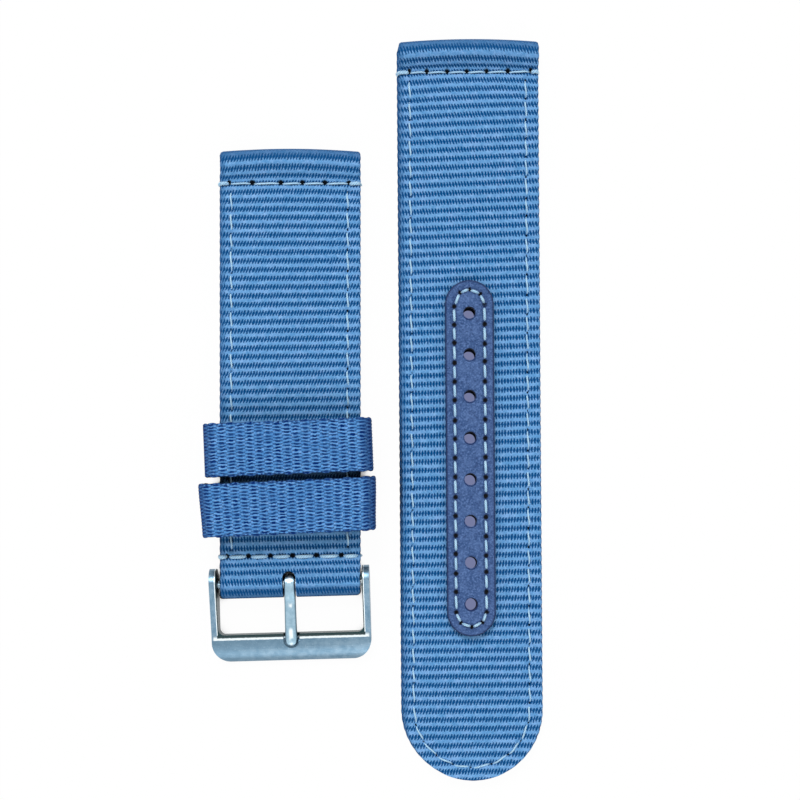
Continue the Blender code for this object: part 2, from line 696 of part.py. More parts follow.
def notch_cutter(strap):
    """The cradle in the bar's top that the tongue comes down into."""
    radius = NOTCH_WIDTH / 2
    inner = -BAR_INNER_FROM_AXIS
    low = tongue_height(BAR_INNER_FROM_AXIS + NOTCH_REACH) - TONGUE_THICKNESS / 2 - SEAT_GAP
    foot = arc(0.0, inner - NOTCH_REACH + radius, radius, -math.pi, 0.0, FINE_ARC_STEP)
    outline = [(-radius, inner + OVERRUN), *foot, (radius, inner + OVERRUN)]
    height = EAR_RADIUS + OVERRUN
    mesh = plate_mesh("notch_cutter", outline, height)
    return strap.cutter("notch_cutter", mesh, strap.buckle, (0.0, 0.0, low + height / 2))


def tongue_side():
    """Outline of the tongue from the side: an eye, an arched shank and a rounded tip."""
    half = TONGUE_THICKNESS / 2
    join = math.asin(half / EYE_RADIUS)
    eye = arc(0.0, 0.0, EYE_RADIUS, -math.pi + join, math.pi - join)
    start = EYE_RADIUS * math.cos(join)
    steps = 2 * RAMP_STEPS
    places = [start + (TONGUE_LENGTH - half - start) * i / steps for i in range(1, steps + 1)]
    upper = [(-y, tongue_height(y) + half) for y in places]
    lower = [(-y, tongue_height(y) - half) for y in reversed(places)]
    end = places[-1]
    tip = arc(-end, tongue_height(end), half, math.pi / 2, 3 * math.pi / 2)
    return [*eye, *upper[:-1], *tip, *lower[1:]]


def build_tongue(strap):
    mesh = side_on(plate_mesh("buckle_tongue", tongue_side(), TONGUE_TIP_WIDTH))
    for vertex in mesh.vertices:
        vertex.co.x *= tongue_width(-vertex.co.y) / TONGUE_TIP_WIDTH
    tongue = strap.part("buckle_tongue", mesh, strap.steel, strap.buckle)
    bevel(tongue, TONGUE_BEVEL)
    bore = strap.round_cutter(
        "eye_drill",
        [(0.0, 0.0, 0.0)],
        EYE_BORE_RADIUS,
        TONGUE_TIP_WIDTH + 2 * OVERRUN,
        strap.buckle,
        (0.0, math.pi / 2, 0.0),
    )
    return combine(tongue, bore)


def turned(strap, name, profile, turn, closed):
    """A piece turned about the bar axis, from a profile of radius and distance along it."""
    shape = bmesh.new()
    corners = [shape.verts.new((radius, 0.0, along)) for radius, along in profile]
    for a, b in zip(corners, corners[1:]):
        shape.edges.new((a, b))
    if closed:
        shape.edges.new((corners[-1], corners[0]))
    mesh = bpy.data.meshes.new(name)
    shape.to_mesh(mesh)
    shape.free()
    piece = strap.part(name, mesh, strap.steel, strap.buckle, turn=turn)
    screw = piece.modifiers.new("turned", "SCREW")
    screw.steps = TURN_STEPS
    screw.render_steps = TURN_STEPS
    screw.use_merge_vertices = True
    screw.merge_threshold = WELD_DISTANCE
    screw.use_smooth_shade = True
    return piece


def build_bar_tube(strap):
    end = BAR_TUBE_LENGTH / 2
    outside = BAR_TUBE_DIAMETER / 2
    bore = BAR_TUBE_BORE / 2
    mouth = TIP_NECK_DIAMETER / 2 + RUNNING_GAP
    crimp = end - BAR_CRIMP_LENGTH
    profile = [(outside, end), (outside, -end), (mouth, -end), (mouth, -crimp)]
    profile += [(bore, -crimp), (bore, crimp), (mouth, crimp), (mouth, end)]
    return turned(strap, "spring_bar_tube", profile, (0.0, math.pi / 2, 0.0), True)


def build_bar_tip(strap, name, side):
    """A sprung end of the bar: head in the tube, neck, collar, and pivot in the arm."""
    neck = TIP_NECK_DIAMETER / 2
    pivot = PIVOT_DIAMETER / 2
    head_out = BAR_TUBE_LENGTH / 2 - BAR_CRIMP_LENGTH - RUNNING_GAP
    collar_out = BUCKLE_INNER_WIDTH / 2 - RUNNING_GAP
    pivot_out = BUCKLE_INNER_WIDTH / 2 + PIVOT_REACH
    head = TIP_HEAD_DIAMETER / 2
    collar = TIP_COLLAR_DIAMETER / 2
    profile = [(0.0, pivot_out), (pivot, pivot_out), (pivot, collar_out), (collar, collar_out)]
    profile += [(collar, collar_out - TIP_COLLAR_LENGTH), (neck, collar_out - TIP_COLLAR_LENGTH)]
    profile += [(neck, head_out), (head, head_out), (head, head_out - TIP_HEAD_LENGTH)]
    profile += [(0.0, head_out - TIP_HEAD_LENGTH)]
    return turned(strap, name, profile, (0.0, side * math.pi / 2, 0.0), False)


def build_bar_spring(strap):
    """The coil inside the tube that pushes both tips out."""
    head_in = BAR_TUBE_LENGTH / 2 - BAR_CRIMP_LENGTH - RUNNING_GAP - TIP_HEAD_LENGTH
    half = head_in - RUNNING_GAP - SPRING_WIRE_DIAMETER / 2
    radius = (TIP_HEAD_DIAMETER - SPRING_WIRE_DIAMETER) / 2
    count = SPRING_TURNS * SPRING_STEPS
    points = []
    for i in range(count + 1):
        angle = 2 * math.pi * i / SPRING_STEPS
        along = half * (2 * i / count - 1)
        points.append((along, radius * math.cos(angle), radius * math.sin(angle)))
    curve = poly_curve("spring_bar_spring", points, "3D")
    curve.bevel_depth = SPRING_WIRE_DIAMETER / 2
    curve.bevel_resolution = 0
    curve.use_fill_caps = True
    gap = 2 * half / SPRING_TURNS - SPRING_WIRE_DIAMETER
    print(f"least gap between the spring's turns: {gap / MM:.2f} mm")
    return strap.part("spring_bar_spring", curve, strap.steel, strap.buckle)


def even_shading(strap):
    """Lets the large faces set the smooth shading, so that rims don't darken flat sides."""
    for obj in strap.parts.objects:
        if obj.type == "MESH":
            obj.modifiers.new("shading", "WEIGHTED_NORMAL")


def main():
    clear_scene()
    strap = Strap()
    webbing, drill = build_long_webbing(strap)
    build_long_seams(strap, webbing)
    build_patch(strap, webbing, drill)
    short = build_short_webbing(strap)
    build_short_seams(strap, short)
    build_keeper(
        strap, "free_keeper", FREE_KEEPER_WIDTH, FREE_KEEPER_FROM_BAR, FREE_KEEPER_TILT, 0.0
    )
    build_keeper(
        strap,
        "fixed_keeper",
        FIXED_KEEPER_WIDTH,
        FIXED_KEEPER_FROM_BAR,
        FIXED_KEEPER_TILT,
        FIXED_KEEPER_FLARE,
    )
    build_frame(strap)
    build_tongue(strap)
    build_bar_tube(strap)
    build_bar_tip(strap, "spring_bar_tip_right", 1)
    build_bar_tip(strap, "spring_bar_tip_left", -1)
    build_bar_spring(strap)
    even_shading(strap)


main()
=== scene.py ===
"""Looks of the canvas watch strap: ribbed webbing, stitched leather and satin steel.

Every piece is built in the CAD frame, in metres, and rides on the CAD body that carries it.
"""

import json
import logging
import math
from dataclasses import dataclass
from enum import Enum

import bmesh
import bpy
import numpy as np
from bpy.types import Material as Finish
from bpy.types import Mesh, Node, NodeSocket, NodeTree, Object
from mathutils import Matrix, Vector
from numpy import ndarray as Array


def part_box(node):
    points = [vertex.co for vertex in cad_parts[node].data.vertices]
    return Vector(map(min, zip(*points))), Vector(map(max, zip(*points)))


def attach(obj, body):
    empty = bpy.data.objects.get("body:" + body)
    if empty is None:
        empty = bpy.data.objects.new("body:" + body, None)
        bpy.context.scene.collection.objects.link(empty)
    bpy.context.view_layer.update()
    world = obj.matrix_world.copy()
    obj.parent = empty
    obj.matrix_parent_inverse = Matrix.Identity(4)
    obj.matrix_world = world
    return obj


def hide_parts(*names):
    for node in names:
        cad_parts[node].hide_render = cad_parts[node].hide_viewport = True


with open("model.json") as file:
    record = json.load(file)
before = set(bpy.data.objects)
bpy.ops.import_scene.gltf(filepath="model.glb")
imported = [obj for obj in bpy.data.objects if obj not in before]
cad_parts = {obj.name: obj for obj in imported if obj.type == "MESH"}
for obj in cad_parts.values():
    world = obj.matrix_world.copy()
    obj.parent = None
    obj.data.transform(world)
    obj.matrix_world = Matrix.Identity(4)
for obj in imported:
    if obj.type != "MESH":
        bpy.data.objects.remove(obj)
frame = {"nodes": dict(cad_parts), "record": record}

MM = 0.001
AIR_SAMPLES = 8
LOG = logging.getLogger("strap")
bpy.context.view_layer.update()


class Side(Enum):
    """Which skin of a strap a seam lies on, as the way that the skin faces."""

    FACE = 1
    BACK = -1

    @property
    def label(self) -> str:
        """How the CAD names the thread on this skin."""
        return "top" if self is Side.FACE else "under"


class Solver(Enum):
    """How a Boolean is worked out: quickly for closed bodies, or exactly."""

    QUICK = "MANIFOLD"
    EXACT = "EXACT"


@dataclass(frozen=True)
class StrapSizes:
    """Sizes that both pieces of the strap share."""

    width: float = 24.0 * MM
    ply_shift: float = 0.4 * MM
    thickness: float = 1.2 * MM
    ply_gap: float = 0.2 * MM
    lug_bore: float = 2.2 * MM
    ramp_to_seam: float = 0.6 * MM
    edge_seam_inset: float = 2.2 * MM
    cross_seam_inset: float = 0.1 * MM
    seam_end_gap: float = 1.3 * MM
    cross_seam_lift: float = 0.18 * MM
    stitch: float = 3.3 * MM
    edge_hole: float = 0.17 * MM
    cross_hole: float = 0.46 * MM
    patch_hole: float = 0.43 * MM
    crown: float = 0.55 * MM
    bow_share: float = 0.3
    cut_end: tuple = (1.7 * MM, 0.6 * MM)
    table_gap: float = 0.02 * MM
    cutter_top: float = 8.0 * MM

    @property
    def half(self) -> float:
        """Half the strap's width."""
        return self.width / 2

    @property
    def stack(self) -> float:
        """Height of two plies and the gap between them."""
        return 2 * self.thickness + self.ply_gap

    @property
    def ply_offset(self) -> float:
        """Distance of each ply's middle from the middle of the strap."""
        return (self.thickness + self.ply_gap) / 2

    @property
    def lug_radius(self) -> float:
        """Radius of the middle line of the fold round a watch's bar."""
        return (self.lug_bore + self.thickness) / 2

    @property
    def lug_outside(self) -> float:
        """Radius of the outer skin of that fold."""
        return self.lug_radius + self.thickness / 2


STRAP = StrapSizes()
ARC_STEP = math.radians(4)
RAMP_STEPS = 16


def arc(u: float, v: float, radius: float, start: float, end: float, step: float = ARC_STEP) -> list:
    """Points (u, v) on an arc from its first to its last angle, about a step apart, both ends included."""
    count = max(2, round(abs(end - start) / step))
    angles = [start + (end - start) * i / count for i in range(count + 1)]
    return [(u + radius * math.cos(a), v + radius * math.sin(a)) for a in angles]


def circle(x: float, y: float, radius: float, step: float) -> list:
    """A closed round outline with a point at about every step of its angle."""
    return arc(x, y, radius, 0.0, 2 * math.pi, step)[:-1]


def ramp(start: tuple, end: tuple) -> list:
    """A smooth step between two points, level at both ends and without them.

    Args:
        start: first point as (u, v).
        end: last point as (u, v).

    Returns:
        The points between them.
    """
    points = []
    for i in range(1, RAMP_STEPS):
        share = i / RAMP_STEPS
        rise = (1 - math.cos(math.pi * share)) / 2
        points.append((start[0] + (end[0] - start[0]) * share, start[1] + (end[1] - start[1]) * rise))
    return points


def smooth_step(low: float, high: float, value: Array) -> Array:
    """A soft step of values from 0 at low to 1 at high, which may be below low."""
    share = np.clip((value - low) / (high - low), 0.0, 1.0)
    return share * share * (3 - 2 * share)


def run_lengths(points: Array) -> Array:
    """The distance along a run at each of its points."""
    steps = np.linalg.norm(np.diff(points, axis=0), axis=1)
    return np.concatenate([[0.0], np.cumsum(steps)])


def read_run(points: Array, places: Array) -> Array:
    """Points of a run at the given distances along it, one a row."""
    lengths = run_lengths(points)
    return np.stack([np.interp(places, lengths, axis) for axis in np.asarray(points).T], axis=1)


def unit(vectors: Array) -> Array:
    """Vectors of length 1 that point the same way, one a row."""
    return vectors / np.linalg.norm(vectors, axis=1)[:, None]


def outward(run: Array, before: Array, after: Array) -> Array:
    """The way out to the right of a side run, between two places before and after each point."""
    ahead = unit(read_run(run, after) - read_run(run, before))
    return np.column_stack([ahead[:, 1], -ahead[:, 0]])


def grid_mesh(name: str, rows: Array, wrap: bool, loop: bool = False) -> Mesh:
    """A mesh of quads on a grid of points, with its open ends capped.

    Args:
        name: the mesh's name.
        rows: points as an array of rows, columns and three coordinates.
        wrap: joins the last column to the first.
        loop: joins the last row to the first, in place of caps.

    Returns:
        The new mesh.
    """
    count, width = rows.shape[:2]
    index = np.arange(count * width).reshape(count, width)
    if wrap:
        index = np.hstack([index, index[:, :1]])
    if loop:
        index = np.vstack([index, index[:1]])
    corners = [index[:-1, :-1], index[:-1, 1:], index[1:, 1:], index[1:, :-1]]
    faces = np.stack(corners, axis=-1).reshape(-1, 4).tolist()
    if wrap and not loop:
        faces += [index[0, :-1][::-1].tolist(), index[-1, :-1].tolist()]
    mesh = bpy.data.meshes.new(name)
    mesh.from_pydata(rows.reshape(-1, 3).tolist(), [], faces)
    mesh.shade_smooth()
    return mesh


def write_uv(mesh: Mesh, name: str, across: Array, along: Array) -> None:
    """Gives a mesh a UV map read from values at its vertices.

    Args:
        mesh: the mesh.
        name: the map's name.
        across: first coordinate of each vertex.
        along: second coordinate of each vertex.
    """
    corner = np.zeros(len(mesh.loops), np.int32)
    mesh.loops.foreach_get("vertex_index", corner)
    pairs = np.stack([across.ravel(), along.ravel()], axis=1)[corner]
    mesh.uv_layers.new(name=name).data.foreach_set("uv", pairs.astype(np.float32).ravel())


def write_value(mesh: Mesh, name: str, values: Array) -> None:
    """Gives each vertex of a mesh a number that a shader can read."""
    attribute = mesh.attributes.new(name, "FLOAT", "POINT")
    attribute.data.foreach_set("value", values.astype(np.float32).ravel())


def read_vertices(mesh: Mesh) -> Array:
    """The places of a mesh's vertices, one a row."""
    return np.array([vertex.co for vertex in mesh.vertices])


def write_faces(mesh: Mesh, name: str, value: object) -> None:
    """Gives each face a number that a shader can read, found from its centre and normal."""
    attribute = mesh.attributes.new(name, "FLOAT", "FACE")
    attribute.data.foreach_set("value", [value(face.center, face.normal) for face in mesh.polygons])


def link(name: str, data: object) -> Object:
    """Makes an object of some data and puts it in the scene."""
    obj = bpy.data.objects.new(name, data)
    bpy.context.scene.collection.objects.link(obj)
    return obj


def add_piece(name: str, mesh: Mesh, place: Matrix, finish: Finish) -> Object:
    """Makes an object of a mesh drawn in a piece's own frame, which stands at place in the CAD's."""
    mesh.transform(place)
    mesh.materials.append(finish)
    return link(name, mesh)


def settle(obj: Object, body: str, slot: str, *nodes: str) -> Object:
    """Puts a finished piece on its CAD body, in place of the CAD nodes that it stands for.

    Args:
        obj: the piece.
        body: the CAD body that carries it.
        slot: the record's material slot; not used.
        nodes: the CAD nodes that it replaces.

    Returns:
        The same piece.
    """
    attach(obj, body)
    if nodes:
        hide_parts(*nodes)
    LOG.info("%s: %d faces on %s", obj.name, len(obj.data.polygons), body)
    return obj


def cut(obj: Object, tool: Mesh, solver: Solver, operation: str = "DIFFERENCE") -> None:
    """Applies a Boolean to an object's mesh.

    Args:
        obj: the object that is cut.
        tool: the cutter's mesh, in the object's frame.
        solver: how the Boolean is worked out.
        operation: Blender's name for what it does.
    """
    cutter = link("cutter", tool)
    modifier = obj.modifiers.new("cut", "BOOLEAN")
    modifier.operation = operation
    modifier.solver = solver.value
    modifier.object = cutter
    apply_modifiers(obj)
    bpy.data.objects.remove(cutter)


def apply_modifiers(obj: Object) -> None:
    """Makes an object's modifiers part of its mesh."""
    graph = bpy.context.evaluated_depsgraph_get()
    final = obj.evaluated_get(graph)
    mesh = bpy.data.meshes.new_from_object(final, preserve_all_data_layers=True, depsgraph=graph)
    obj.modifiers.clear()
    obj.data = mesh


def prism(name: str, outline: list, low: float, high: float) -> Mesh:
    """A closed solid between two heights on a counterclockwise outline of (x, y) points."""
    flat = np.array(outline)
    rows = np.stack([np.column_stack([flat, np.full(len(flat), z)]) for z in (low, high)])
    return grid_mesh(name, rows, wrap=True)


class Field:
    """A value that varies over a surface: the output of a shader node, used like a number."""

    def __init__(self, graph: "Graph", socket: NodeSocket) -> None:
        """Takes an output of a node in a graph."""
        self.graph = graph
        self.socket = socket

    def __add__(self, other: object) -> "Field":
        """The sum with another value."""
        return self.graph.math("ADD", self, other)

    def __sub__(self, other: object) -> "Field":
        """The difference from another value."""
        return self.graph.math("SUBTRACT", self, other)

    def __rsub__(self, other: float) -> "Field":
        """What is left of a number when this is taken off."""
        return self.graph.math("SUBTRACT", other, self)

    def __mul__(self, other: object) -> "Field":
        """The product with another value."""
        return self.graph.math("MULTIPLY", self, other)

    def __truediv__(self, other: object) -> "Field":
        """The quotient by another value."""
        return self.graph.math("DIVIDE", self, other)

    def __abs__(self) -> "Field":
        """The value without its sign."""
        return self.graph.math("ABSOLUTE", self)

    def floor(self) -> "Field":
        """The whole number at or below the value."""
        return self.graph.math("FLOOR", self)

    def fract(self) -> "Field":
        """What the value has past a whole number."""
        return self.graph.math("FRACT", self)

    def in_cell(self) -> "Field":
        """Where the value lies between two whole numbers, from -0.5 to 0.5."""
        return self.fract() - 0.5


class Graph:
    """A shader node tree, with short calls for the nodes that the finishes use."""

    def __init__(self, tree: NodeTree) -> None:
        """Wraps a node tree."""
        self.tree = tree

    def node(self, kind: str, **settings: object) -> Node:
        """Adds a node and sets its properties."""
        made = self.tree.nodes.new(kind)
        for name, value in settings.items():
            setattr(made, name, value)
        return made

    def read(self, kind: str, output: object = 0, **settings: object) -> Field:
        """Adds a node that needs no input and returns one of its outputs."""
        return Field(self, self.node(kind, **settings).outputs[output])

    def feed(self, target: NodeSocket, value: object) -> None:
        """Links a field to a socket, or sets the socket to a constant."""
        if isinstance(value, Field):
            self.tree.links.new(value.socket, target)
        else:
            target.default_value = value

    def math(self, operation: str, *values: object) -> Field:
        """Adds a Math node and returns its result."""
        made = self.node("ShaderNodeMath", operation=operation)
        for target, value in zip(made.inputs, values):
            self.feed(target, value)
        return Field(self, made.outputs[0])

    def highest(self, first: Field, *others: object) -> Field:
        """The greatest of several values."""
        for other in others:
            first = self.math("MAXIMUM", first, other)
        return first

    def distance(self, across: Field, along: Field) -> Field:
        """The length of a step that goes so far across and so far along."""
        return self.math("SQRT", across * across + along * along)

    def step(self, value: Field, low: object, high: object, start: float = 0.0, end: float = 1.0) -> Field:
        """Adds a soft step of a value from start at low to end at high."""
        made = self.node("ShaderNodeMapRange", interpolation_type="SMOOTHSTEP")
        labels = ("Value", "From Min", "From Max", "To Min", "To Max")
        for label, entry in zip(labels, (value, low, high, start, end)):
            self.feed(made.inputs[label], entry)
        return Field(self, made.outputs[0])

    def mix(self, share: object, first: object, second: object) -> Field:
        """Adds a mix of two colours and returns its result."""
        made = self.node("ShaderNodeMix", data_type="RGBA")
        colours = [s for s in made.inputs if s.type == "RGBA"]
        for target, entry in zip((made.inputs[0], *colours), (share, first, second)):
            self.feed(target, entry)
        return Field(self, next(s for s in made.outputs if s.type == "RGBA"))

    def split(self, vector: Field) -> tuple:
        """The three coordinates of a vector."""
        made = self.node("ShaderNodeSeparateXYZ")
        self.feed(made.inputs[0], vector)
        return tuple(Field(self, s) for s in made.outputs)

    def attribute(self, name: str) -> Field:
        """The number that a mesh carries under a name."""
        return self.read("ShaderNodeAttribute", "Fac", attribute_name=name)

    def open_air(self, distance: float, samples: int = AIR_SAMPLES) -> Field:
        """The share of the surface's surroundings that is free within a distance."""
        made = self.node("ShaderNodeAmbientOcclusion", samples=samples)
        self.feed(made.inputs["Distance"], distance)
        return Field(self, made.outputs["AO"])

    def seen(self) -> Field:
        """1 for camera, glossy and transmission rays, which show the white backdrop."""
        path = self.node("ShaderNodeLightPath").outputs
        kinds = ("Is Camera Ray", "Is Glossy Ray", "Is Transmission Ray")
        return self.highest(*(Field(self, path[kind]) for kind in kinds))

    def weave_place(self) -> tuple:
        """The weave's own coordinates: yarns across and ribs along."""
        return self.split(self.read("ShaderNodeUVMap", uv_map="weave"))[:2]

    def noise(self, scale: object, detail: float = 2.0, kind: str = "ShaderNodeTexNoise") -> Field:
        """Noise of a scale in cells a metre, from the rest position of the surface."""
        made = self.node(kind)
        place = self.read("ShaderNodeTexCoord", "Object")
        for label, entry in (("Scale", scale), ("Detail", detail), ("Vector", place)):
            self.feed(made.inputs[label], entry)
        return Field(self, made.outputs[0])

    def wobble(self, scale: float, detail: float = 2.0) -> Field:
        """Noise that goes as far below 0 as above it."""
        return self.noise(scale, detail) - 0.5

    def cell_noise(self, first: Field, second: Field) -> Field:
        """A random number for each whole pair of two values."""
        pair = self.node("ShaderNodeCombineXYZ")
        for target, value in zip(pair.inputs, (first, second)):
            self.feed(target, value.floor())
        made = self.node("ShaderNodeTexWhiteNoise", noise_dimensions="2D")
        self.feed(made.inputs["Vector"], Field(self, pair.outputs[0]))
        return Field(self, made.outputs["Value"])


class Group(Graph):
    """A shader node group whose inputs and outputs are numbers."""

    def __init__(self, name: str, inputs: dict, outputs: tuple) -> None:
        """Starts the group.

        Args:
            name: the group's name.
            inputs: default value of each input by name.
            outputs: names of the outputs.
        """
        super().__init__(bpy.data.node_groups.new(name, "ShaderNodeTree"))
        sockets = self.tree.interface
        for label, value in inputs.items():
            sockets.new_socket(label, in_out="INPUT", socket_type="NodeSocketFloat").default_value = value
        for label in outputs:
            sockets.new_socket(label, in_out="OUTPUT", socket_type="NodeSocketFloat")
        self.given = {s.name: Field(self, s) for s in self.node("NodeGroupInput").outputs}
        self.result = self.node("NodeGroupOutput")

    def put(self, label: str, value: Field) -> None:
        """Sends a value out of the group."""
        self.feed(self.result.inputs[label], value)


def linear(red: int, green: int, blue: int) -> tuple:
    """A colour written as 0 to 255 on a screen, as Blender's linear colour with alpha."""
    shares = [c / 255 for c in (red, green, blue)]
    return (*[s / 12.92 if s <= 0.04045 else ((s + 0.055) / 1.055) ** 2.4 for s in shares], 1.0)


class Effects:
    """The shader groups that several finishes share, each made once."""

    def __init__(self) -> None:
        """Makes the groups."""
        self.rib = self.ribbed_weave()
        self.brick = self.staggered_weave()
        self.needle = self.needle_holes()
        self.wear = self.rubbed_edges()

    def ribbed_weave(self) -> Group:
        """Ribs of webbing: pale floats, and dark furrows, partly painted shade, with a leaning stroke at
        each yarn.

        Returns:
            The group, with Shade, Height and Tone as its outputs.
        """
        edge = STRAP.half / WebbingSizes.yarn
        inputs = {"Core": 0.16, "Stroke": 0.33, "Selvage": edge}
        group = Group("ribbed_weave", inputs, ("Shade", "Height", "Tone"))
        yarn, rib = group.weave_place()
        wander = group.wobble(800.0)
        furrow = (rib + 0.5).in_cell() + wander * 0.12
        shaken = yarn + wander * 0.7 + group.wobble(2400.0) * 0.5
        leaning = furrow * group.attribute("lean") + shaken
        uneven = group.cell_noise(leaning, rib + 0.5)
        stroke = abs(leaning.in_cell())
        far = abs(furrow)
        selvage = group.step(yarn + group.given["Selvage"], 2.4, 1.6)
        reach = group.given["Stroke"] * (uneven * 0.3 + 0.85) + selvage * 0.17
        tooth = group.step(far * 0.8 + stroke, 0.56, 0.3)
        tooth = tooth * group.step(far, reach + 0.07, reach - 0.05)
        core = group.step(far, group.given["Core"], 0.0, 0.0, 0.7)
        dark = group.highest(tooth, core, selvage * 0.4)
        gap = group.step(stroke, 0.2, 0.5) * 0.3
        group.put("Shade", dark * (1.0 - group.attribute("plain") * 0.4))
        group.put("Height", 1.0 - group.highest(gap, dark))
        group.put("Tone", group.cell_noise(yarn, rib) * 0.12 + group.noise(900.0, 5.0) * 0.95)
        return group

    def staggered_weave(self) -> Group:
        """Staggered floats of the keepers' narrow webbing, with a dark dash between them.

        Returns:
            The group, with Shade, Height and Tone as its outputs.
        """
        edge = KeeperSizes.band / 2 / KeeperSizes.float_width
        group = Group("staggered_weave", {"Edge": edge}, ("Shade", "Height", "Tone"))
        yarn, pick = group.weave_place()
        pick = group.wobble(1700.0) * 0.5 + pick
        odd = group.math("MODULO", abs(pick.floor()), 2.0)
        row = odd * 0.5 + (group.wobble(1000.0) * 1.1 + yarn)
        uneven = group.cell_noise(row, pick)
        across = abs(row.in_cell())
        dash = group.step(across, 0.12, 0.32) * group.step(abs(pick.in_cell()), 0.36, 0.18)
        dash = dash * (uneven * 0.35 + 0.75)
        thin = group.step(across, 0.2, 0.48) * (uneven * 0.3 + 0.5)
        rim = group.step(abs(yarn), group.given["Edge"] - 1.1, group.given["Edge"] - 0.4)
        tick = group.step((pick * 2.0).fract(), 0.35, 0.7)
        braid = rim * (tick * (uneven * 0.4 + 0.6))
        hollow = group.highest(group.step(across, 0.2, 0.5), dash * 0.8)
        group.put("Shade", group.highest(dash, thin, braid))
        group.put("Height", 1.0 - hollow)
        group.put("Tone", uneven * 0.35 + group.noise(420.0, 5.0) * 0.6)
        return group

    def needle_holes(self) -> Group:
        """The needle holes along a seam, as a mask for the shade painted into them.

        Returns:
            The group, with Hole as its output.
        """
        ragged = 0.25 * MM
        group = Group("needle_holes", {"Stitch": STRAP.stitch}, ("Hole",))
        along = (group.attribute("seam_along") + 0.5).in_cell() * group.given["Stitch"]
        along = along / group.attribute("seam_stretch")
        radius = group.attribute("seam_radius")
        far = group.distance(along, group.attribute("seam_off")) + group.wobble(2600.0) * ragged
        group.put("Hole", group.step(far, radius * 1.2, radius * 0.6))
        return group

    def rubbed_edges(self) -> Group:
        """Wear on raised edges and a mask of hollows, broken up by noise.

        Returns:
            The group, with Edge and Concave as its outputs.
        """
        group = Group("wear", {"Scale": 700.0}, ("Edge", "Concave"))
        sharp = group.read("ShaderNodeNewGeometry", "Pointiness")
        grain = group.noise(group.given["Scale"])
        group.put("Edge", group.step(sharp, 0.52, 0.6) * group.step(grain, 0.35, 0.65))
        group.put("Concave", group.step(sharp, 0.48, 0.4) * group.step(grain, 0.3, 0.6))
        return group


class Material(Graph):
    """A Principled material that is being put together, coat of colour by coat of colour."""

    def __init__(self, name: str, colour: object, **constants: object) -> None:
        """Starts a material.

        Args:
            name: its name.
            colour: its colour before anything is painted over it.
            constants: values of its shader's sockets, by their names with _ for a space.
        """
        self.made = bpy.data.materials.new(name)
        self.made.use_nodes = True
        super().__init__(self.made.node_tree)
        self.shader = self.tree.nodes["Principled BSDF"]
        self.colour = colour
        for label, value in constants.items():
            self.shader.inputs[label.replace("_", " ")].default_value = value

    def group(self, group: Group, **values: float) -> dict:
        """Places one of the shared groups and returns its outputs by name."""
        made = self.node("ShaderNodeGroup", node_tree=group.tree)
        for label, value in values.items():
            self.feed(made.inputs[label], value)
        return {s.name: Field(self, s) for s in made.outputs}

    def paint(self, share: Field, colour: object) -> None:
        """Lays a colour over the colour so far, where and as far as share says."""
        self.colour = self.mix(share, self.colour, colour)

    def pierce(self, effects: Effects, colour: tuple) -> None:
        """Paints shade into the needle holes and onto the walls of punched holes."""
        needle = self.group(effects.needle)
        self.paint(self.highest(needle["Hole"], self.attribute("bore")), colour)

    def bump(self, height: Field, distance: float, strength: float = 1.0, over: object = None) -> Field:
        """Adds a bump, over another where one is given, and returns its normal."""
        made = self.node("ShaderNodeBump")
        entries = {"Strength": strength, "Distance": distance, "Height": height}
        if over is not None:
            entries["Normal"] = over
        for label, entry in entries.items():
            self.feed(made.inputs[label], entry)
        return Field(self, made.outputs[0])

    def finish(self, roughness: Field, normal: Field) -> Finish:
        """Feeds the shader with the painted colour, a roughness and a normal."""
        entries = {"Base Color": self.colour, "Roughness": roughness, "Normal": normal}
        for label, entry in entries.items():
            self.feed(self.shader.inputs[label], entry)
        return self.made


@dataclass(frozen=True)
class WovenFinish:
    """Dyed webbing: pale yarn on the crests, dark dye with painted shade in the furrows, fuzz, painted shade
    in deep gaps and in the needle holes.
    """

    name: str
    pale: tuple
    mid: tuple
    dark: tuple
    relief: float
    cool: tuple = linear(114, 168, 220)
    fleck: tuple = linear(158, 198, 240)
    pit_shade: tuple = linear(3, 8, 16)
    fuzz: float = 0.03
    gap_shade_reach: float = 8 * MM
    fibre: float = 0.03 * MM

    def make(self, effects: Effects, weave: Group) -> Finish:
        """Builds the material.

        Args:
            effects: the shared groups.
            weave: the group that draws the weave.

        Returns:
            The material.
        """
        constants = {"Sheen_Weight": self.fuzz, "Sheen_Roughness": 0.5, "Specular_IOR_Level": 0.06}
        cloth = Material(self.name, self.mid, **constants)
        woven = cloth.group(weave)
        worn = cloth.group(effects.wear)
        cloud = cloth.step(cloth.noise(620.0, 3.0), 0.4, 0.62)
        crests = cloth.mix(cloud, self.pale, self.cool)
        cloth.paint(cloth.step(woven["Tone"], 0.25, 0.85), crests)
        cloth.paint(cloth.step(cloth.noise(2600.0), 0.52, 0.72, 0.0, 0.35), self.fleck)
        cloth.paint(worn["Edge"] * 0.3, self.pale)
        # painted shade on selvages, folds and the keepers' corners, edges and inner skin
        cloth.paint(cloth.attribute("painted_shade"), self.dark)
        # the furrows: darker yarn, with shade painted into the hollows
        cloth.paint(woven["Shade"], self.dark)
        # painted shade in deep gaps, between and under the keepers
        cloth.paint(cloth.step(cloth.open_air(self.gap_shade_reach), 0.55, 0.25, 0.0, 0.96), self.pit_shade)
        # painted shade in the needle holes and on the holes' walls
        cloth.pierce(effects, self.pit_shade)
        roughness = cloth.step(woven["Tone"], 0.2, 0.9, 0.72, 0.95)
        fibres = cloth.bump(cloth.noise(5200.0, 3.0), self.fibre, 0.6)
        return cloth.finish(roughness, cloth.bump(woven["Height"], self.relief, over=fibres))


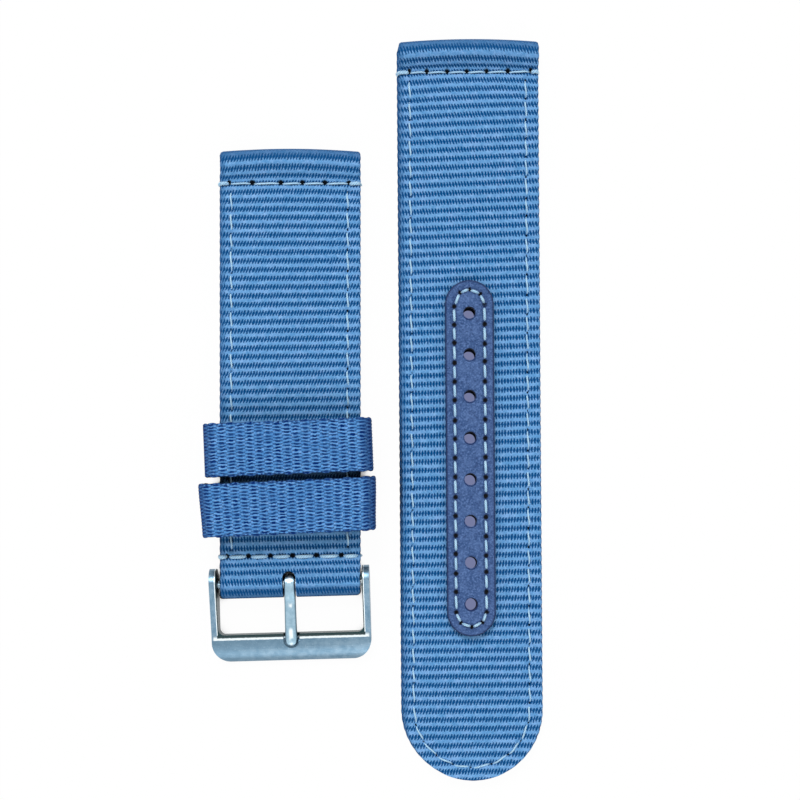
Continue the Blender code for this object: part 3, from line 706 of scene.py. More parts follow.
@dataclass(frozen=True)
class ThreadFinish:
    """Pale polyester sewing thread."""

    name: str = "pale_thread"
    pale: tuple = linear(204, 238, 252)
    deep: tuple = linear(112, 166, 212)
    fibre: float = 0.02 * MM

    def make(self, effects: Effects) -> Finish:
        """Builds the material.

        Args:
            effects: the shared groups.

        Returns:
            The material.
        """
        yarn = Material(self.name, self.deep, Sheen_Weight=0.15, Specular_IOR_Level=0.35)
        worn = yarn.group(effects.wear, Scale=1600.0)
        yarn.paint(yarn.step(yarn.attribute("strand"), 0.15, 0.7) * 0.85, self.pale)
        yarn.paint(yarn.step(yarn.noise(700.0), 0.3, 0.7, 0.0, 0.35), self.deep)
        # darker in the thread's hollows
        yarn.paint(worn["Concave"] * 0.4, self.deep)
        roughness = yarn.step(yarn.noise(1500.0), 0.3, 0.7, 0.45, 0.7)
        return yarn.finish(roughness, yarn.bump(yarn.noise(9000.0, 3.0), self.fibre, 0.7))


@dataclass(frozen=True)
class LeatherFinish:
    """Dyed split leather: fine grain, pale speckles, painted shade along the rim, round the mouths of the
    holes and in the holes.
    """

    hole_radius: float
    hole_pitch: float
    name: str = "patch_leather"
    base: tuple = linear(56, 85, 134)
    pale: tuple = linear(90, 119, 170)
    dark: tuple = linear(24, 42, 88)
    # colour of the shadow painted along the patch's outer edge
    rim: tuple = linear(8, 24, 70)
    pit_shade: tuple = linear(3, 5, 12)
    mouth: float = 0.2 * MM
    mouth_blur: float = 0.08 * MM
    mouth_drop: float = 0.13 * MM
    grain: float = 0.09 * MM

    def hole_mouth_shade(self, hide: Material) -> Field:
        """1 on the narrow edge round each hole, centred a little below it, where shade is painted."""
        row = (hide.attribute("hole_row") + 0.5).in_cell()
        along = row * self.hole_pitch + self.mouth_drop
        far = hide.distance(along, hide.attribute("hole_across"))
        edge = self.hole_radius + self.mouth
        return hide.step(far, edge, edge - self.mouth_blur)

    def make(self, effects: Effects) -> Finish:
        """Builds the material.

        Args:
            effects: the shared groups.

        Returns:
            The material.
        """
        hide = Material(self.name, self.base, Specular_IOR_Level=0.15, Sheen_Weight=0.05)
        worn = hide.group(effects.wear)
        pores = hide.noise(3600.0, kind="ShaderNodeTexVoronoi")
        grain = hide.noise(3400.0, 4.0)
        hide.paint(hide.step(hide.noise(500.0, 4.0), 0.35, 0.75, 0.0, 0.5), self.pale)
        hide.paint(hide.step(grain, 0.52, 0.62, 0.0, 0.9), self.pale)
        hide.paint(hide.step(grain, 0.44, 0.34, 0.0, 0.5), self.dark)
        hide.paint(worn["Edge"] * 0.25, self.pale)
        hide.paint(hide.attribute("groove") * 0.4, self.dark)
        # painted shadow along the patch's outer edge
        hide.paint(hide.attribute("rim") * 0.85, self.rim)
        # painted shade round the lower edge of each hole
        hide.paint(self.hole_mouth_shade(hide) * 0.9, self.dark)
        # painted shade in the needle holes and on the holes' walls
        hide.pierce(effects, self.pit_shade)
        roughness = hide.step(grain, 0.3, 0.7, 0.5, 0.72)
        return hide.finish(roughness, hide.bump(grain + pores, self.grain, 0.9))


@dataclass(frozen=True)
class SteelFinish:
    """Satin steel: fine speckle, painted highlights on the crests, painted shade on the sides and on the
    frame's inner rim, and a painted highlight line behind that rim.
    """

    name: str
    base: tuple
    deep: tuple
    bright: tuple = linear(236, 246, 250)
    opening: float = 0.0
    # colour of the painted shade on the tongue's sides and on the frame's inner rim
    shade_colour: tuple = linear(30, 52, 52)
    crest_highlight: float = 0.0
    roughness: float = 0.36
    speckle: float = 0.008 * MM
    arm_scale: float = 3.0
    rim_width: float = 0.6 * MM
    rim_blur: float = 0.16 * MM
    ragged: float = 0.2 * MM
    highlight_width: float = 0.22 * MM
    highlight_blur: float = 0.1 * MM
    highlight_reach: tuple = (1.1 * MM, 0.7 * MM)
    shade_reach: tuple = (0.35 * MM, 0.2 * MM)

    def make(self, effects: Effects) -> Finish:
        """Builds the material.

        Args:
            effects: the shared groups.

        Returns:
            The material.
        """
        steel = Material(self.name, self.deep, Metallic=1.0)
        worn = steel.group(effects.wear, Scale=900.0)
        speckle = steel.noise(5200.0, 3.0)
        steel.paint(steel.step(steel.noise(900.0, 4.0), 0.3, 0.7), self.base)
        steel.paint(steel.step(speckle, 0.44, 0.3, 0.0, 0.6), self.deep)
        steel.paint(steel.step(speckle, 0.58, 0.72, 0.0, 0.15), self.bright)
        steel.paint(worn["Edge"] * 0.06, self.bright)
        side = abs(steel.attribute("side"))
        # painted highlight along the tongue's crest, in patches
        painted_highlight = steel.step(steel.noise(420.0), 0.46, 0.6, 0.0, self.crest_highlight)
        steel.paint(steel.step(side, 0.5, 0.15) * painted_highlight, self.bright)
        # painted shade on the tongue's sides
        steel.paint(steel.step(side, 0.66, 1.0, 0.0, 0.6), self.shade_colour)
        if self.opening:
            self.shade_rim(steel)
        roughness = steel.step(speckle, 0.3, 0.7, self.roughness - 0.05, self.roughness + 0.07)
        return steel.finish(roughness, steel.bump(speckle, self.speckle, 0.5))

    def shade_rim(self, steel: Material) -> None:
        """Paints shade on the rim of the frame's opening and a highlight line behind it."""
        behind = steel.attribute("behind_edge")
        beside = abs(steel.attribute("from_middle")) - self.opening / 2
        on_bar = steel.math("GREATER_THAN", behind, 0.0)
        on_arm = steel.highest(beside * self.arm_scale, on_bar * -MM)
        rim = on_arm * (1.0 - on_bar) + behind * on_bar
        rim = rim + steel.wobble(1800.0, 3.0) * self.ragged
        # painted highlight line along the bar, behind the rim
        line = self.rim_width + self.highlight_width
        painted_highlight = steel.step(rim, 0.0, self.rim_width) * steel.step(rim, line + self.highlight_blur, line)
        steel.paint(painted_highlight * steel.step(beside, *self.highlight_reach), self.bright)
        # painted shade on the inner rim of the opening
        shade_colour = steel.step(rim, self.rim_width, self.rim_width - self.rim_blur)
        steel.paint(shade_colour * steel.step(beside, *self.shade_reach, 0.0, 0.94), self.shade_colour)


@dataclass(frozen=True)
class Finishes:
    """Every material of the strap."""

    canvas: Finish
    keeper: Finish
    leather: Finish
    thread: Finish
    steel: Finish
    pin_steel: Finish

    @classmethod
    def make(cls) -> "Finishes":
        """Builds the shared groups and the materials that use them.

        Returns:
            The finishes.
        """
        effects = Effects()
        canvas = WovenFinish(
            name="canvas_blue",
            pale=linear(126, 172, 224),
            mid=linear(86, 145, 199),
            dark=linear(0, 72, 128),
            relief=0.1 * MM,
        )
        keeper = WovenFinish(
            name="keeper_blue",
            pale=linear(108, 166, 230),
            mid=linear(74, 134, 198),
            dark=linear(0, 40, 106),
            cool=linear(94, 156, 218),
            relief=0.14 * MM,
        )
        leather = LeatherFinish(LongSizes.hole_diameter / 2, LongSizes.hole_pitch)
        satin = SteelFinish(
            name="satin_steel",
            base=linear(112, 142, 163),
            deep=linear(104, 134, 155),
            opening=BuckleSizes.inner_width,
        )
        polished = SteelFinish(
            name="polished_steel",
            base=linear(160, 190, 207),
            deep=linear(138, 170, 188),
            shade_colour=linear(66, 92, 108),
            crest_highlight=1.0,
        )
        return cls(
            canvas=canvas.make(effects, effects.rib),
            keeper=keeper.make(effects, effects.brick),
            leather=leather.make(effects),
            thread=ThreadFinish().make(effects),
            steel=satin.make(effects),
            pin_steel=polished.make(effects),
        )


@dataclass(frozen=True)
class Thread:
    """How a seam's thread is laid: its size, how high it stands and how deep it sinks."""

    diameter: float = 0.3 * MM
    rise: float = 0.06 * MM
    sink: float = 1.0 * MM
    sharpness: float = 2.6
    slant: float = 0.1 * MM
    end_swell: float = 1.0
    step: float = 0.11 * MM
    turn: float = 1.15 * MM
    core: float = 0.72
    strand: float = 0.34
    bulge: float = 2.6
    sides: int = 12

    def centre_line(self, seam: "Seam", level: float) -> Array:
        """The thread's middle line through every stitch of a seam.

        Args:
            seam: the seam.
            level: height of the skin that it lies on.

        Returns:
            Points in the piece's own frame, about one every step.
        """
        last = len(seam.holes) - 1
        stitch = np.linspace(0.0, last, max(8, round(seam.holes[-1] / self.step)))
        if seam.closed:
            stitch = stitch[:-1]
        part = 2 * (stitch % 1.0) - 1
        part[stitch >= last] = 1.0
        entry = read_run(seam.run, seam.holes)
        flat = np.column_stack([np.interp(stitch, np.arange(last + 1), axis) for axis in entry.T])
        way = unit(np.diff(entry, axis=0)[np.minimum(stitch.astype(int), last - 1)])
        aside = part * (1 - part**2) * self.bulge * self.slant
        flat = flat + np.column_stack([-way[:, 1], way[:, 0]]) * aside[:, None]
        height = self.rise - (self.rise + self.sink) * np.abs(part) ** self.sharpness
        return np.column_stack([flat, level + seam.side.value * height])

    def swell(self, seam: "Seam", count: int) -> Array:
        """How much thicker the thread lies in the first and last stitch, where it is doubled."""
        last = len(seam.holes) - 1
        stitch = np.linspace(0.0, last, count)
        from_end = np.minimum(stitch, last - stitch)
        return 1 + (self.end_swell - 1) * smooth_step(1.0, 0.8, from_end)

    def mesh(self, seam: "Seam", level: float) -> Mesh:
        """The thread's mesh: three strands twisted together.

        Args:
            seam: the seam that it makes.
            level: height of the skin that it lies on.

        Returns:
            The thread's mesh in the piece's own frame.
        """
        line = self.centre_line(seam, level)
        way = unit(np.gradient(line, axis=0))
        side = np.cross(way, (0.0, 0.0, 1.0))
        side /= np.maximum(np.linalg.norm(side, axis=1), 1e-9)[:, None]
        over = np.cross(side, way)
        angle = np.linspace(0.0, 2 * math.pi, self.sides, endpoint=False)[None, :]
        twist = (2 * math.pi / self.turn * run_lengths(line))[:, None]
        strand = np.abs(np.cos(1.5 * (angle - twist)))
        radius = self.diameter / 2 * (self.core + self.strand * strand)
        radius = radius * self.swell(seam, len(line))[:, None]
        rows = line[:, None] + side[:, None] * (radius * np.cos(angle))[..., None]
        rows = rows + over[:, None] * (radius * np.sin(angle))[..., None]
        mesh = grid_mesh(seam.name, rows, wrap=True, loop=seam.closed)
        write_value(mesh, "strand", strand)
        return mesh


EDGE_THREAD = Thread()
UNDER_THREAD = Thread(diameter=0.34 * MM, rise=-0.16 * MM, sharpness=2.0)
LUG_THREAD = Thread(
    diameter=0.32 * MM, rise=0.12 * MM, sink=1.4 * MM, sharpness=4.0, slant=0.04 * MM, end_swell=2.0
)
PATCH_THREAD = Thread(diameter=0.46 * MM, rise=0.14 * MM, sink=2.0 * MM, sharpness=2.4, slant=0.04 * MM)
BUCKLE_THREAD = Thread(diameter=0.62 * MM, rise=0.18 * MM, sink=2.0 * MM, slant=0.04 * MM, end_swell=1.1)


@dataclass
class Seam:
    """A line of stitches on one skin: where it runs, its needle holes and its thread."""

    name: str
    run: Array
    holes: Array
    side: Side
    face_thread: Thread = EDGE_THREAD
    closed: bool = False
    radius: float = STRAP.edge_hole
    stretch: float = 1.6
    lift: float = 0.0
    wraps: bool = False

    @property
    def thread(self) -> Thread:
        """The needle thread on the face, and the bobbin thread on the back."""
        return self.face_thread if self.side is Side.FACE else UNDER_THREAD

    @classmethod
    def along(cls, name: str, points: list, side: Side, seed: int = 1) -> "Seam":
        """A seam with stitches of the usual length, a little uneven.

        Args:
            name: the CAD node of its thread.
            points: the run in the piece's own plan.
            side: the skin that it lies on.
            seed: picks the unevenness.

        Returns:
            The seam.
        """
        run = np.array(points)
        length = run_lengths(run)[-1]
        count = max(1, round(length / STRAP.stitch))
        uneven = np.random.default_rng(seed).normal(0.0, 0.05, count + 1)
        uneven[[0, -1]] = 0.0
        return cls(name, run, (np.arange(count + 1) + uneven) * length / count, side)

    @classmethod
    def across(cls, name: str, ends: tuple, shares: tuple, side: Side, thread: Thread) -> "Seam":
        """A straight seam whose needle holes are given as shares of its length.

        Args:
            name: the CAD node of its thread.
            ends: first and last point of the run.
            shares: needle holes as shares of the run.
            side: the skin that it lies on.
            thread: the thread on the face.

        Returns:
            The seam.
        """
        run = np.array(ends)
        places = np.array([0.0, *shares, 1.0]) * run_lengths(run)[-1]
        size = {"radius": STRAP.cross_hole, "stretch": 1.0, "lift": STRAP.cross_seam_lift}
        return cls(name, run, places, side, thread, wraps=True, **size)

    def sew(self, level: float, body: str, place: Matrix, finish: Finish) -> None:
        """Lays the seam's thread on its skin, in a piece that a CAD body carries."""
        obj = add_piece(self.name + "_yarn", self.thread.mesh(self, level), place, finish)
        settle(obj, body, "pale_thread", self.name)

    def locate(self, x: Array, y: Array) -> tuple:
        """Finds points relative to the seam.

        Args:
            x: first coordinate of the points in plan.
            y: second coordinate of the points in plan.

        Returns:
            The place along the seam, in stitches, and the distance off it.
        """
        best = np.full(x.shape, np.inf)
        along = np.zeros(x.shape)
        y = y - self.lift
        lengths = run_lengths(self.run)
        for first, last, done in zip(self.run, self.run[1:], lengths):
            step = last - first
            share = ((x - first[0]) * step[0] + (y - first[1]) * step[1]) / (step @ step)
            share = np.clip(share, 0.0, 1.0)
            off = np.hypot(x - first[0] - share * step[0], y - first[1] - share * step[1])
            nearer = off < best
            best = np.where(nearer, off, best)
            along = np.where(nearer, done + share * math.hypot(*step), along)
        last = len(self.holes) - 1
        along = np.interp(along, self.holes, np.arange(last + 1))
        return np.clip(along, 0.5, last - 0.5) if self.wraps else along, best


@dataclass(frozen=True)
class WebbingSizes:
    """How a strip of webbing is woven and how finely it is drawn."""

    yarn: float = 0.5 * MM
    rib: float = 1.46 * MM
    phase: float = 0.0
    depth: float = 0.16 * MM
    side_relief: float = 0.5
    # strengths of the shade painted on the back ply's selvages and on the folds
    selvage_shade: float = 0.85
    fold_shade: float = 0.6
    edge_round: float = 0.42 * MM
    columns: int = 76
    face_phases: tuple = (0.0, 0.12, 0.26, 0.42, 0.58, 0.74, 0.88)
    back_phases: tuple = (0.0, 0.2, 0.5, 0.8)
    look: float = 0.15 * MM
    least_step: float = 0.04 * MM
    proud: float = 0.02 * MM
    dent_depth: float = 0.4 * MM
    dent_radius: float = 0.42 * MM
    pull_depth: float = 0.09 * MM
    pull_width: float = 0.7 * MM
    lean_places: tuple = (0.0, 1.0)
    lean_values: tuple = (0.0, 0.0)

    def lean(self, y: Array) -> Array:
        """How far the furrows' strokes lean, in yarns per rib, at places along the piece."""
        return np.interp(y, self.lean_places, self.lean_values)


NO_SEAM = {"seam_along": 0.5, "seam_off": 1.0, "seam_radius": 0.1 * MM, "seam_stretch": 1.0}


def seam_drop(depth: float, radius: float, along: Array, off: Array) -> Array:
    """How far a skin is pushed in round each needle hole, from places along and off the seam."""
    to_hole = np.abs((along + 0.5) % 1.0 - 0.5) * STRAP.stitch
    return depth * np.exp(-((np.hypot(to_hole, off) / radius) ** 2))


class Webbing:
    """A strip of ribbed webbing laid along a folded side run."""

    def __init__(self, sizes: WebbingSizes, run: list, fine: object) -> None:
        """Samples the run rib by rib.

        Args:
            sizes: how it is woven.
            run: side run of its middle line as (y, z) points.
            fine: tells from y and z whether a point lies where it is drawn finely.
        """
        self.sizes = sizes
        run = np.array(run)
        total = run_lengths(run)[-1]
        places = self.row_places(run, total, fine)
        before, after = (np.clip(places + step, 0.0, total) for step in (-sizes.look, sizes.look))
        self.along = places
        self.middle = read_run(run, places)
        self.out = outward(run, before, after)
        self.section = self.ring()

    def row_places(self, run: Array, total: float, fine: object) -> Array:
        """Distances along the run at which a row of points is drawn."""
        ribs = np.arange(math.floor(total / self.sizes.rib) + 1) * self.sizes.rib
        middle = read_run(run, ribs)
        places = [0.0, total]
        for start, (y, z) in zip(ribs, middle):
            phases = self.sizes.face_phases if fine(y, z) else self.sizes.back_phases
            places += [start + phase * self.sizes.rib for phase in phases]
        places = np.unique(np.round([p for p in places if p <= total], 8))
        return places[np.concatenate([[True], np.diff(places) > self.sizes.least_step])]

    def ring(self) -> Array:
        """The cross-section: across, height, and the way that its skin faces."""
        half = (STRAP.width - STRAP.ply_shift) / 2
        high, soft = STRAP.thickness / 2, self.sizes.edge_round
        flat = np.linspace(-half + soft, half - soft, self.sizes.columns)
        points = []
        for sign in (-1, 1):
            turn = []
            for centre, angles in ((-high + soft, (-90, -45, 0)), (high - soft, (0, 45))):
                for degrees in angles:
                    u, v = math.cos(math.radians(degrees)), math.sin(math.radians(degrees))
                    turn.append((sign * (half - soft + soft * u), centre + soft * v, sign * u, v))
            if sign < 0:
                points += turn + [(x, high, 0.0, 1.0) for x in flat]
            else:
                points += turn[::-1]
        return np.array(points)

    def relief(self, along: Array) -> Array:
        """Height of the ribs over the webbing's smooth skin."""
        furrow = 0.5 + 0.5 * np.cos(2 * math.pi * along / self.sizes.rib)
        return -self.sizes.depth * furrow**1.6 + self.sizes.proud

    def rows(self, narrow: object = None, bow: object = None) -> dict:
        """Lays the cross-section along the run.

        Args:
            narrow: tells from y how wide the strip is, as a share.
            bow: tells from x and y how far the ribs bow along the strip.

        Returns:
            Points of every row, with their weave coordinates.
        """
        across, height, way_x, way_out = (self.section[:, i][None, :] for i in range(4))
        y, z = self.middle[:, :1], self.middle[:, 1:]
        share = narrow(y) if narrow else np.ones_like(y)
        x = across * share
        lag = self.sizes.phase + (bow(x, y) if bow else 0.0)
        along = self.along[:, None] + lag * np.sign(self.out[:, 1:])
        relief = self.relief(along)
        x = x + relief * way_x * share * self.sizes.side_relief
        height = height + relief * way_out
        points = np.stack([x, y + self.out[:, :1] * height, z + self.out[:, 1:] * height], axis=-1)
        return {"points": points, "across": across * share + 0 * y, "along": along}

    def dent(self, rows: dict, seams: list) -> None:
        """Pulls the skin in along each seam and at each needle hole.

        Args:
            rows: what rows() returned; its points are changed and the seams' marks added.
            seams: the seams on this strip.
        """
        points = rows["points"]
        for label, value in NO_SEAM.items():
            rows[label] = np.full(points.shape[:2], value)
        for seam in seams:
            along, off = seam.locate(points[..., 0], points[..., 1])
            facing = self.out[:, 1:] * seam.side.value * self.section[:, 3][None, :]
            off = np.where(facing > 0.3, off, NO_SEAM["seam_off"])
            nearer = off < rows["seam_off"]
            for label, value in zip(NO_SEAM, (along, off, seam.radius, seam.stretch)):
                rows[label] = np.where(nearer, value, rows[label])
        drop = seam_drop(self.sizes.dent_depth, self.sizes.dent_radius, rows["seam_along"], rows["seam_off"])
        drop += self.sizes.pull_depth * np.exp(-((rows["seam_off"] / self.sizes.pull_width) ** 2))
        points[..., 1:] -= self.out[:, None] * drop[..., None]

    def finish(self, name: str, rows: dict, watch_end: float) -> Mesh:
        """The webbing's mesh, with what its shader reads.

        Args:
            name: the mesh's name.
            rows: what rows() and dent() made.
            watch_end: how far the piece reaches, where the dark furrows are stretched out.

        Returns:
            The mesh in the piece's own frame.
        """
        points = rows["points"]
        mesh = grid_mesh(name, points, wrap=True)
        write_uv(mesh, "weave", rows["across"] / self.sizes.yarn, rows["along"] / self.sizes.rib)
        marks = {label: rows[label] for label in NO_SEAM}
        marks["plain"] = smooth_step(*STRAP.cut_end, watch_end - points[..., 1])
        marks["lean"] = self.sizes.lean(points[..., 1])
        marks["painted_shade"] = self.painted_shade(points.shape[:2])
        for label, values in marks.items():
            write_value(mesh, label, values)
        return mesh

    def painted_shade(self, shape: tuple) -> Array:
        """Painted shade: how dark the colour is painted on the back ply's selvages and where the strip turns
        over.
        """
        end = np.sign(self.middle[:, :1] - self.middle[:, :1].mean())
        turned = smooth_step(-0.7, 0.7, self.out[:, :1] * end) * smooth_step(1.0, 0.97, self.out[:, 1:])
        back = smooth_step(0.3, -0.3, self.out[:, 1:])
        selvage = np.abs(self.section[:, 2])[None, :] * (0.12 + 0.88 * back)
        dark = np.maximum(self.sizes.fold_shade * turned, self.sizes.selvage_shade * selvage)
        return np.broadcast_to(dark, shape)


class StrapPiece:
    """What the long and the short piece share: askew plies, drawn-in seams and threads."""

    def __init__(self, sizes: object, finishes: Finishes, place: Matrix, middle: float) -> None:
        """Takes what the piece is built with.

        Args:
            sizes: the piece's sizes.
            finishes: the materials.
            place: where the piece's own frame stands in the CAD's.
            middle: height of the middle between its plies.
        """
        self.sizes = sizes
        self.finishes = finishes
        self.place = place
        self.middle = middle

    def bow(self, x: Array, y: Array) -> Array:
        """How far the ribs lag at the edges near the watch end."""
        sizes = self.sizes
        return -STRAP.crown * (x / STRAP.half) ** 2 * smooth_step(sizes.bow_reach, 0.0, sizes.watch_end - y)

    def rib_lag(self, x: Array, y: Array) -> Array:
        """How far the ribs run ahead of the strip, which was woven a little askew."""
        reach = smooth_step(*self.sizes.skew_start, y) * smooth_step(*self.sizes.skew_end, y)
        return STRAP.bow_share * self.bow(x, y) + x * self.sizes.rib_skew * reach

    def lay_webbing(self, strip: Webbing, rows: dict, skew: object, seams: list) -> Object:
        """Sets the plies askew and the ribs bowed, draws the seams in and makes the piece.

        Args:
            strip: the webbing.
            rows: its points along the run.
            skew: how far the plies slant along the piece, at its points.
            seams: the seams that pull it in.

        Returns:
            The webbing's object.
        """
        points = rows["points"]
        share = np.clip((points[..., 2] - self.middle) / STRAP.ply_offset, -1.0, 1.0)
        points[..., 0] += share * STRAP.ply_shift / 2
        x, y = points[..., 0], points[..., 1]
        points[..., 1] += skew(x, y) + self.bow(x, y)
        strip.dent(rows, seams)
        name = self.sizes.webbing + "_canvas"
        mesh = strip.finish(name, rows, self.sizes.watch_end)
        return add_piece(name, mesh, self.place, self.finishes.canvas)

    def sew(self, seams: list, lifted: dict) -> None:
        """Lays each seam's thread on its skin; lifted names the seams that lie higher, and how high."""
        for seam in seams:
            level = lifted.get(seam.name, self.middle + seam.side.value * STRAP.stack / 2)
            seam.sew(level, "strap", self.place, self.finishes.thread)


@dataclass(frozen=True)
class LongSizes:
    """Sizes of the long piece and of the leather patch on it."""

    length: float = 125.3 * MM
    seam_from_end: float = 5.6 * MM
    lean: float = math.radians(0.4)
    hole_count: int = 8
    hole_pitch: float = 7.0 * MM
    hole_diameter: float = 2.0 * MM
    hole_lean: tuple = (0.03, 0.09)
    patch_width: float = 8.2 * MM
    patch_margin: float = 5.45 * MM
    patch_base: float = 2.7 * MM
    patch_face: float = 4.0 * MM
    patch_from_end: float = 70.8 * MM
    patch_seam_inset: float = 1.55 * MM
    patch_end_stitches: int = 4
    lug_hole_shares: tuple = (0.085, 0.21, 0.355, 0.495, 0.635, 0.785, 0.955)
    patch_uneven: float = 0.15 * MM
    rib_phase: float = 0.62 * MM
    rib_skew: float = 0.0365
    skew_start: tuple = (-50.0 * MM, 10.0 * MM)
    skew_margin: tuple = (4.0 * MM, 11.0 * MM)
    bow_reach: float = 18.0 * MM
    yarn_lean: float = 1.1
    cut_step: float = 0.002 * MM
    hole_step: float = math.radians(9)
    drill_foot: float = -2.0 * MM
    bore_reach: float = 0.5 * MM
    webbing: str = "long_webbing"

    @property
    def half(self) -> float:
        """Half its length."""
        return self.length / 2

    @property
    def watch_end(self) -> float:
        """How far the piece reaches at the watch end."""
        return self.half

    @property
    def skew_end(self) -> tuple:
        """Where the ribs come back square, next to the watch end."""
        return tuple(self.half - margin for margin in self.skew_margin)

    @property
    def patch_y(self) -> float:
        """Middle of the patch along the piece."""
        return self.half - self.patch_from_end

    @property
    def patch_half(self) -> float:
        """Half the patch's length."""
        return (self.hole_count - 1) * self.hole_pitch / 2 + self.patch_margin


def stadium(half_length: float, radius: float, step: float = ARC_STEP) -> list:
    """A closed outline, counterclockwise, with straight sides along y and round ends."""
    flat = half_length - radius
    return arc(0.0, flat, radius, 0.0, math.pi, step) + arc(0.0, -flat, radius, math.pi, 2 * math.pi, step)


def lug_loop(end: float, z: float) -> list:
    """Middle line of the fold round a watch's bar, from the back ply up to the face."""
    return arc(end - STRAP.lug_outside, z, STRAP.lug_radius, -math.pi / 2, math.pi / 2)


class LongPiece(StrapPiece):
    """The long piece: folded webbing with a round tip, its seams, and the patch with eight holes."""

    def __init__(self, sizes: LongSizes, finishes: Finishes) -> None:
        """Finds where the piece lies from the CAD patch.

        Args:
            sizes: the piece's sizes.
            finishes: the materials.
        """
        low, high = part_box("hole_patch")
        turn = Matrix.Rotation(sizes.lean, 4, "Z")
        centre = (low + high) / 2 - turn @ Vector((0.0, sizes.patch_y, 0.0))
        place = Matrix.Translation((centre.x, centre.y, 0.0)) @ turn
        super().__init__(sizes, finishes, place, STRAP.stack / 2)

    def side_run(self) -> list:
        """Side run of the webbing: back ply, round the watch's bar, and along the face."""
        back = STRAP.thickness / 2
        face = STRAP.stack - back
        loop = lug_loop(self.sizes.half, back + STRAP.lug_radius)
        landing = (self.sizes.half - self.sizes.seam_from_end + STRAP.ramp_to_seam, face)
        end = -self.sizes.half + self.sizes.cut_step
        return [(end, back), *loop, *ramp(loop[-1], landing), landing, (end, face)]

    def edge_run(self) -> list:
        """Plan of the seam down one edge, round the tip and up the other edge."""
        top = self.sizes.half - self.sizes.seam_from_end - STRAP.seam_end_gap
        radius = STRAP.half - STRAP.edge_seam_inset
        tip = arc(0.0, -self.sizes.half + STRAP.half, radius, math.pi, 2 * math.pi)
        return [(-radius, top), *tip, (radius, top)]

    def patch_run(self) -> Array:
        """Plan of the seam round the patch."""
        inset = self.sizes.patch_seam_inset
        run = stadium(self.sizes.patch_half - inset, self.sizes.patch_width / 2 - inset)
        run = [(x, y + self.sizes.patch_y) for x, y in run]
        return np.array([*run, run[0]])

    def patch_holes(self) -> Array:
        """Needle holes along that seam, closer together round its ends."""
        sizes = self.sizes
        radius = sizes.patch_width / 2 - sizes.patch_seam_inset
        turn = math.pi * radius
        side = 2 * (sizes.patch_half - sizes.patch_seam_inset - radius)
        count = round(side / STRAP.stitch)
        steps = [turn / sizes.patch_end_stitches] * sizes.patch_end_stitches + [side / count] * count
        places = np.concatenate([[0.0], np.cumsum(steps * 2)])
        uneven = np.random.default_rng(2).normal(0.0, sizes.patch_uneven, len(places))
        uneven[[0, -1]] = 0.0
        return places + uneven

    def seams(self) -> list:
        """Every seam of the piece, one on each skin."""
        y = self.sizes.half - self.sizes.seam_from_end
        reach = STRAP.half - STRAP.cross_seam_inset
        ends = ((-reach, y), (reach, y))
        shares = self.sizes.lug_hole_shares
        made = []
        for side in Side:
            made.append(Seam.along(f"long_edge_{side.label}_thread", self.edge_run(), side))
            made.append(Seam.across(f"long_lug_{side.label}_thread", ends, shares, side, LUG_THREAD))
        run, holes = self.patch_run(), self.patch_holes()
        punched = {"radius": STRAP.patch_hole, "stretch": 1.1}
        made.append(Seam("patch_top_thread", run, holes, Side.FACE, PATCH_THREAD, closed=True, **punched))
        made.append(Seam("patch_under_thread", run, holes, Side.BACK, closed=True))
        return made

    def tip_share(self, y: Array) -> Array:
        """How much of its full width the strip keeps at the round tip."""
        into = np.clip((-self.sizes.half + STRAP.half - y) / STRAP.half, 0.0, 1.0)
        return np.maximum(np.sqrt(1 - into**2), 0.01)

    def hole_places(self) -> list:
        """Centre of every hole in plan."""
        sizes = self.sizes
        first = sizes.patch_y - (sizes.hole_count - 1) / 2 * sizes.hole_pitch
        return [(0.0, first + i * sizes.hole_pitch) for i in range(sizes.hole_count)]

    def drill(self, obj: Object) -> None:
        """Makes the eight holes in a piece."""
        sizes = self.sizes
        for x, y in self.hole_places():
            outline = circle(x, y, sizes.hole_diameter / 2, sizes.hole_step)
            tool = prism("hole", outline, sizes.drill_foot, STRAP.cutter_top)
            tool.transform(Matrix.Shear("XY", 4, sizes.hole_lean))
            tool.transform(Matrix.Translation(Vector((*sizes.hole_lean, 0.0)) * -sizes.patch_face))
            tool.transform(self.place)
            cut(obj, tool, Solver.QUICK)
        write_faces(obj.data, "bore", self.in_bore)

    def in_bore(self, centre: Vector, normal: Vector) -> float:
        """Tells whether a face is the wall of one of the holes."""
        spot = self.place.inverted() @ centre
        reach = self.sizes.hole_diameter / 2 + self.sizes.bore_reach
        near = any(math.hypot(spot.x - x, spot.y - y) < reach for x, y in self.hole_places())
        return float(near and abs(normal.z) < 0.5)

    def build(self) -> None:
        """Builds the webbing, the patch and their threads."""
        seams = self.seams()
        on_patch = next(seam for seam in seams if seam.face_thread is PATCH_THREAD)
        self.build_webbing([seam for seam in seams if seam is not on_patch])
        self.build_patch(on_patch)
        lifted = {seam.name: STRAP.table_gap for seam in seams if seam.side is Side.BACK}
        lifted[on_patch.name] = self.sizes.patch_face
        self.sew(seams, lifted)

    def build_webbing(self, seams: list) -> None:
        """Builds the folded webbing.

        Args:
            seams: the seams that pull it in.
        """
        sizes = self.sizes
        lean = {"lean_places": (-sizes.half, sizes.half), "lean_values": (sizes.yarn_lean, -sizes.yarn_lean)}
        weave = WebbingSizes(phase=sizes.rib_phase, **lean)
        strip = Webbing(weave, self.side_run(), lambda y, z: z > self.middle)
        rows = strip.rows(self.tip_share, self.rib_lag)
        obj = self.lay_webbing(strip, rows, lambda x, y: 0.0, seams)
        self.drill(obj)
        settle(obj, "strap", "canvas", sizes.webbing)

    def build_patch(self, seam: Seam) -> None:
        """Builds the leather patch with the seam round it."""
        mesh = Patch(self.sizes, seam, self.hole_places()).mesh()
        obj = add_piece("hole_patch_leather", mesh, self.place, self.finishes.leather)
        self.drill(obj)
        settle(obj, "strap", "patch_leather", "hole_patch")


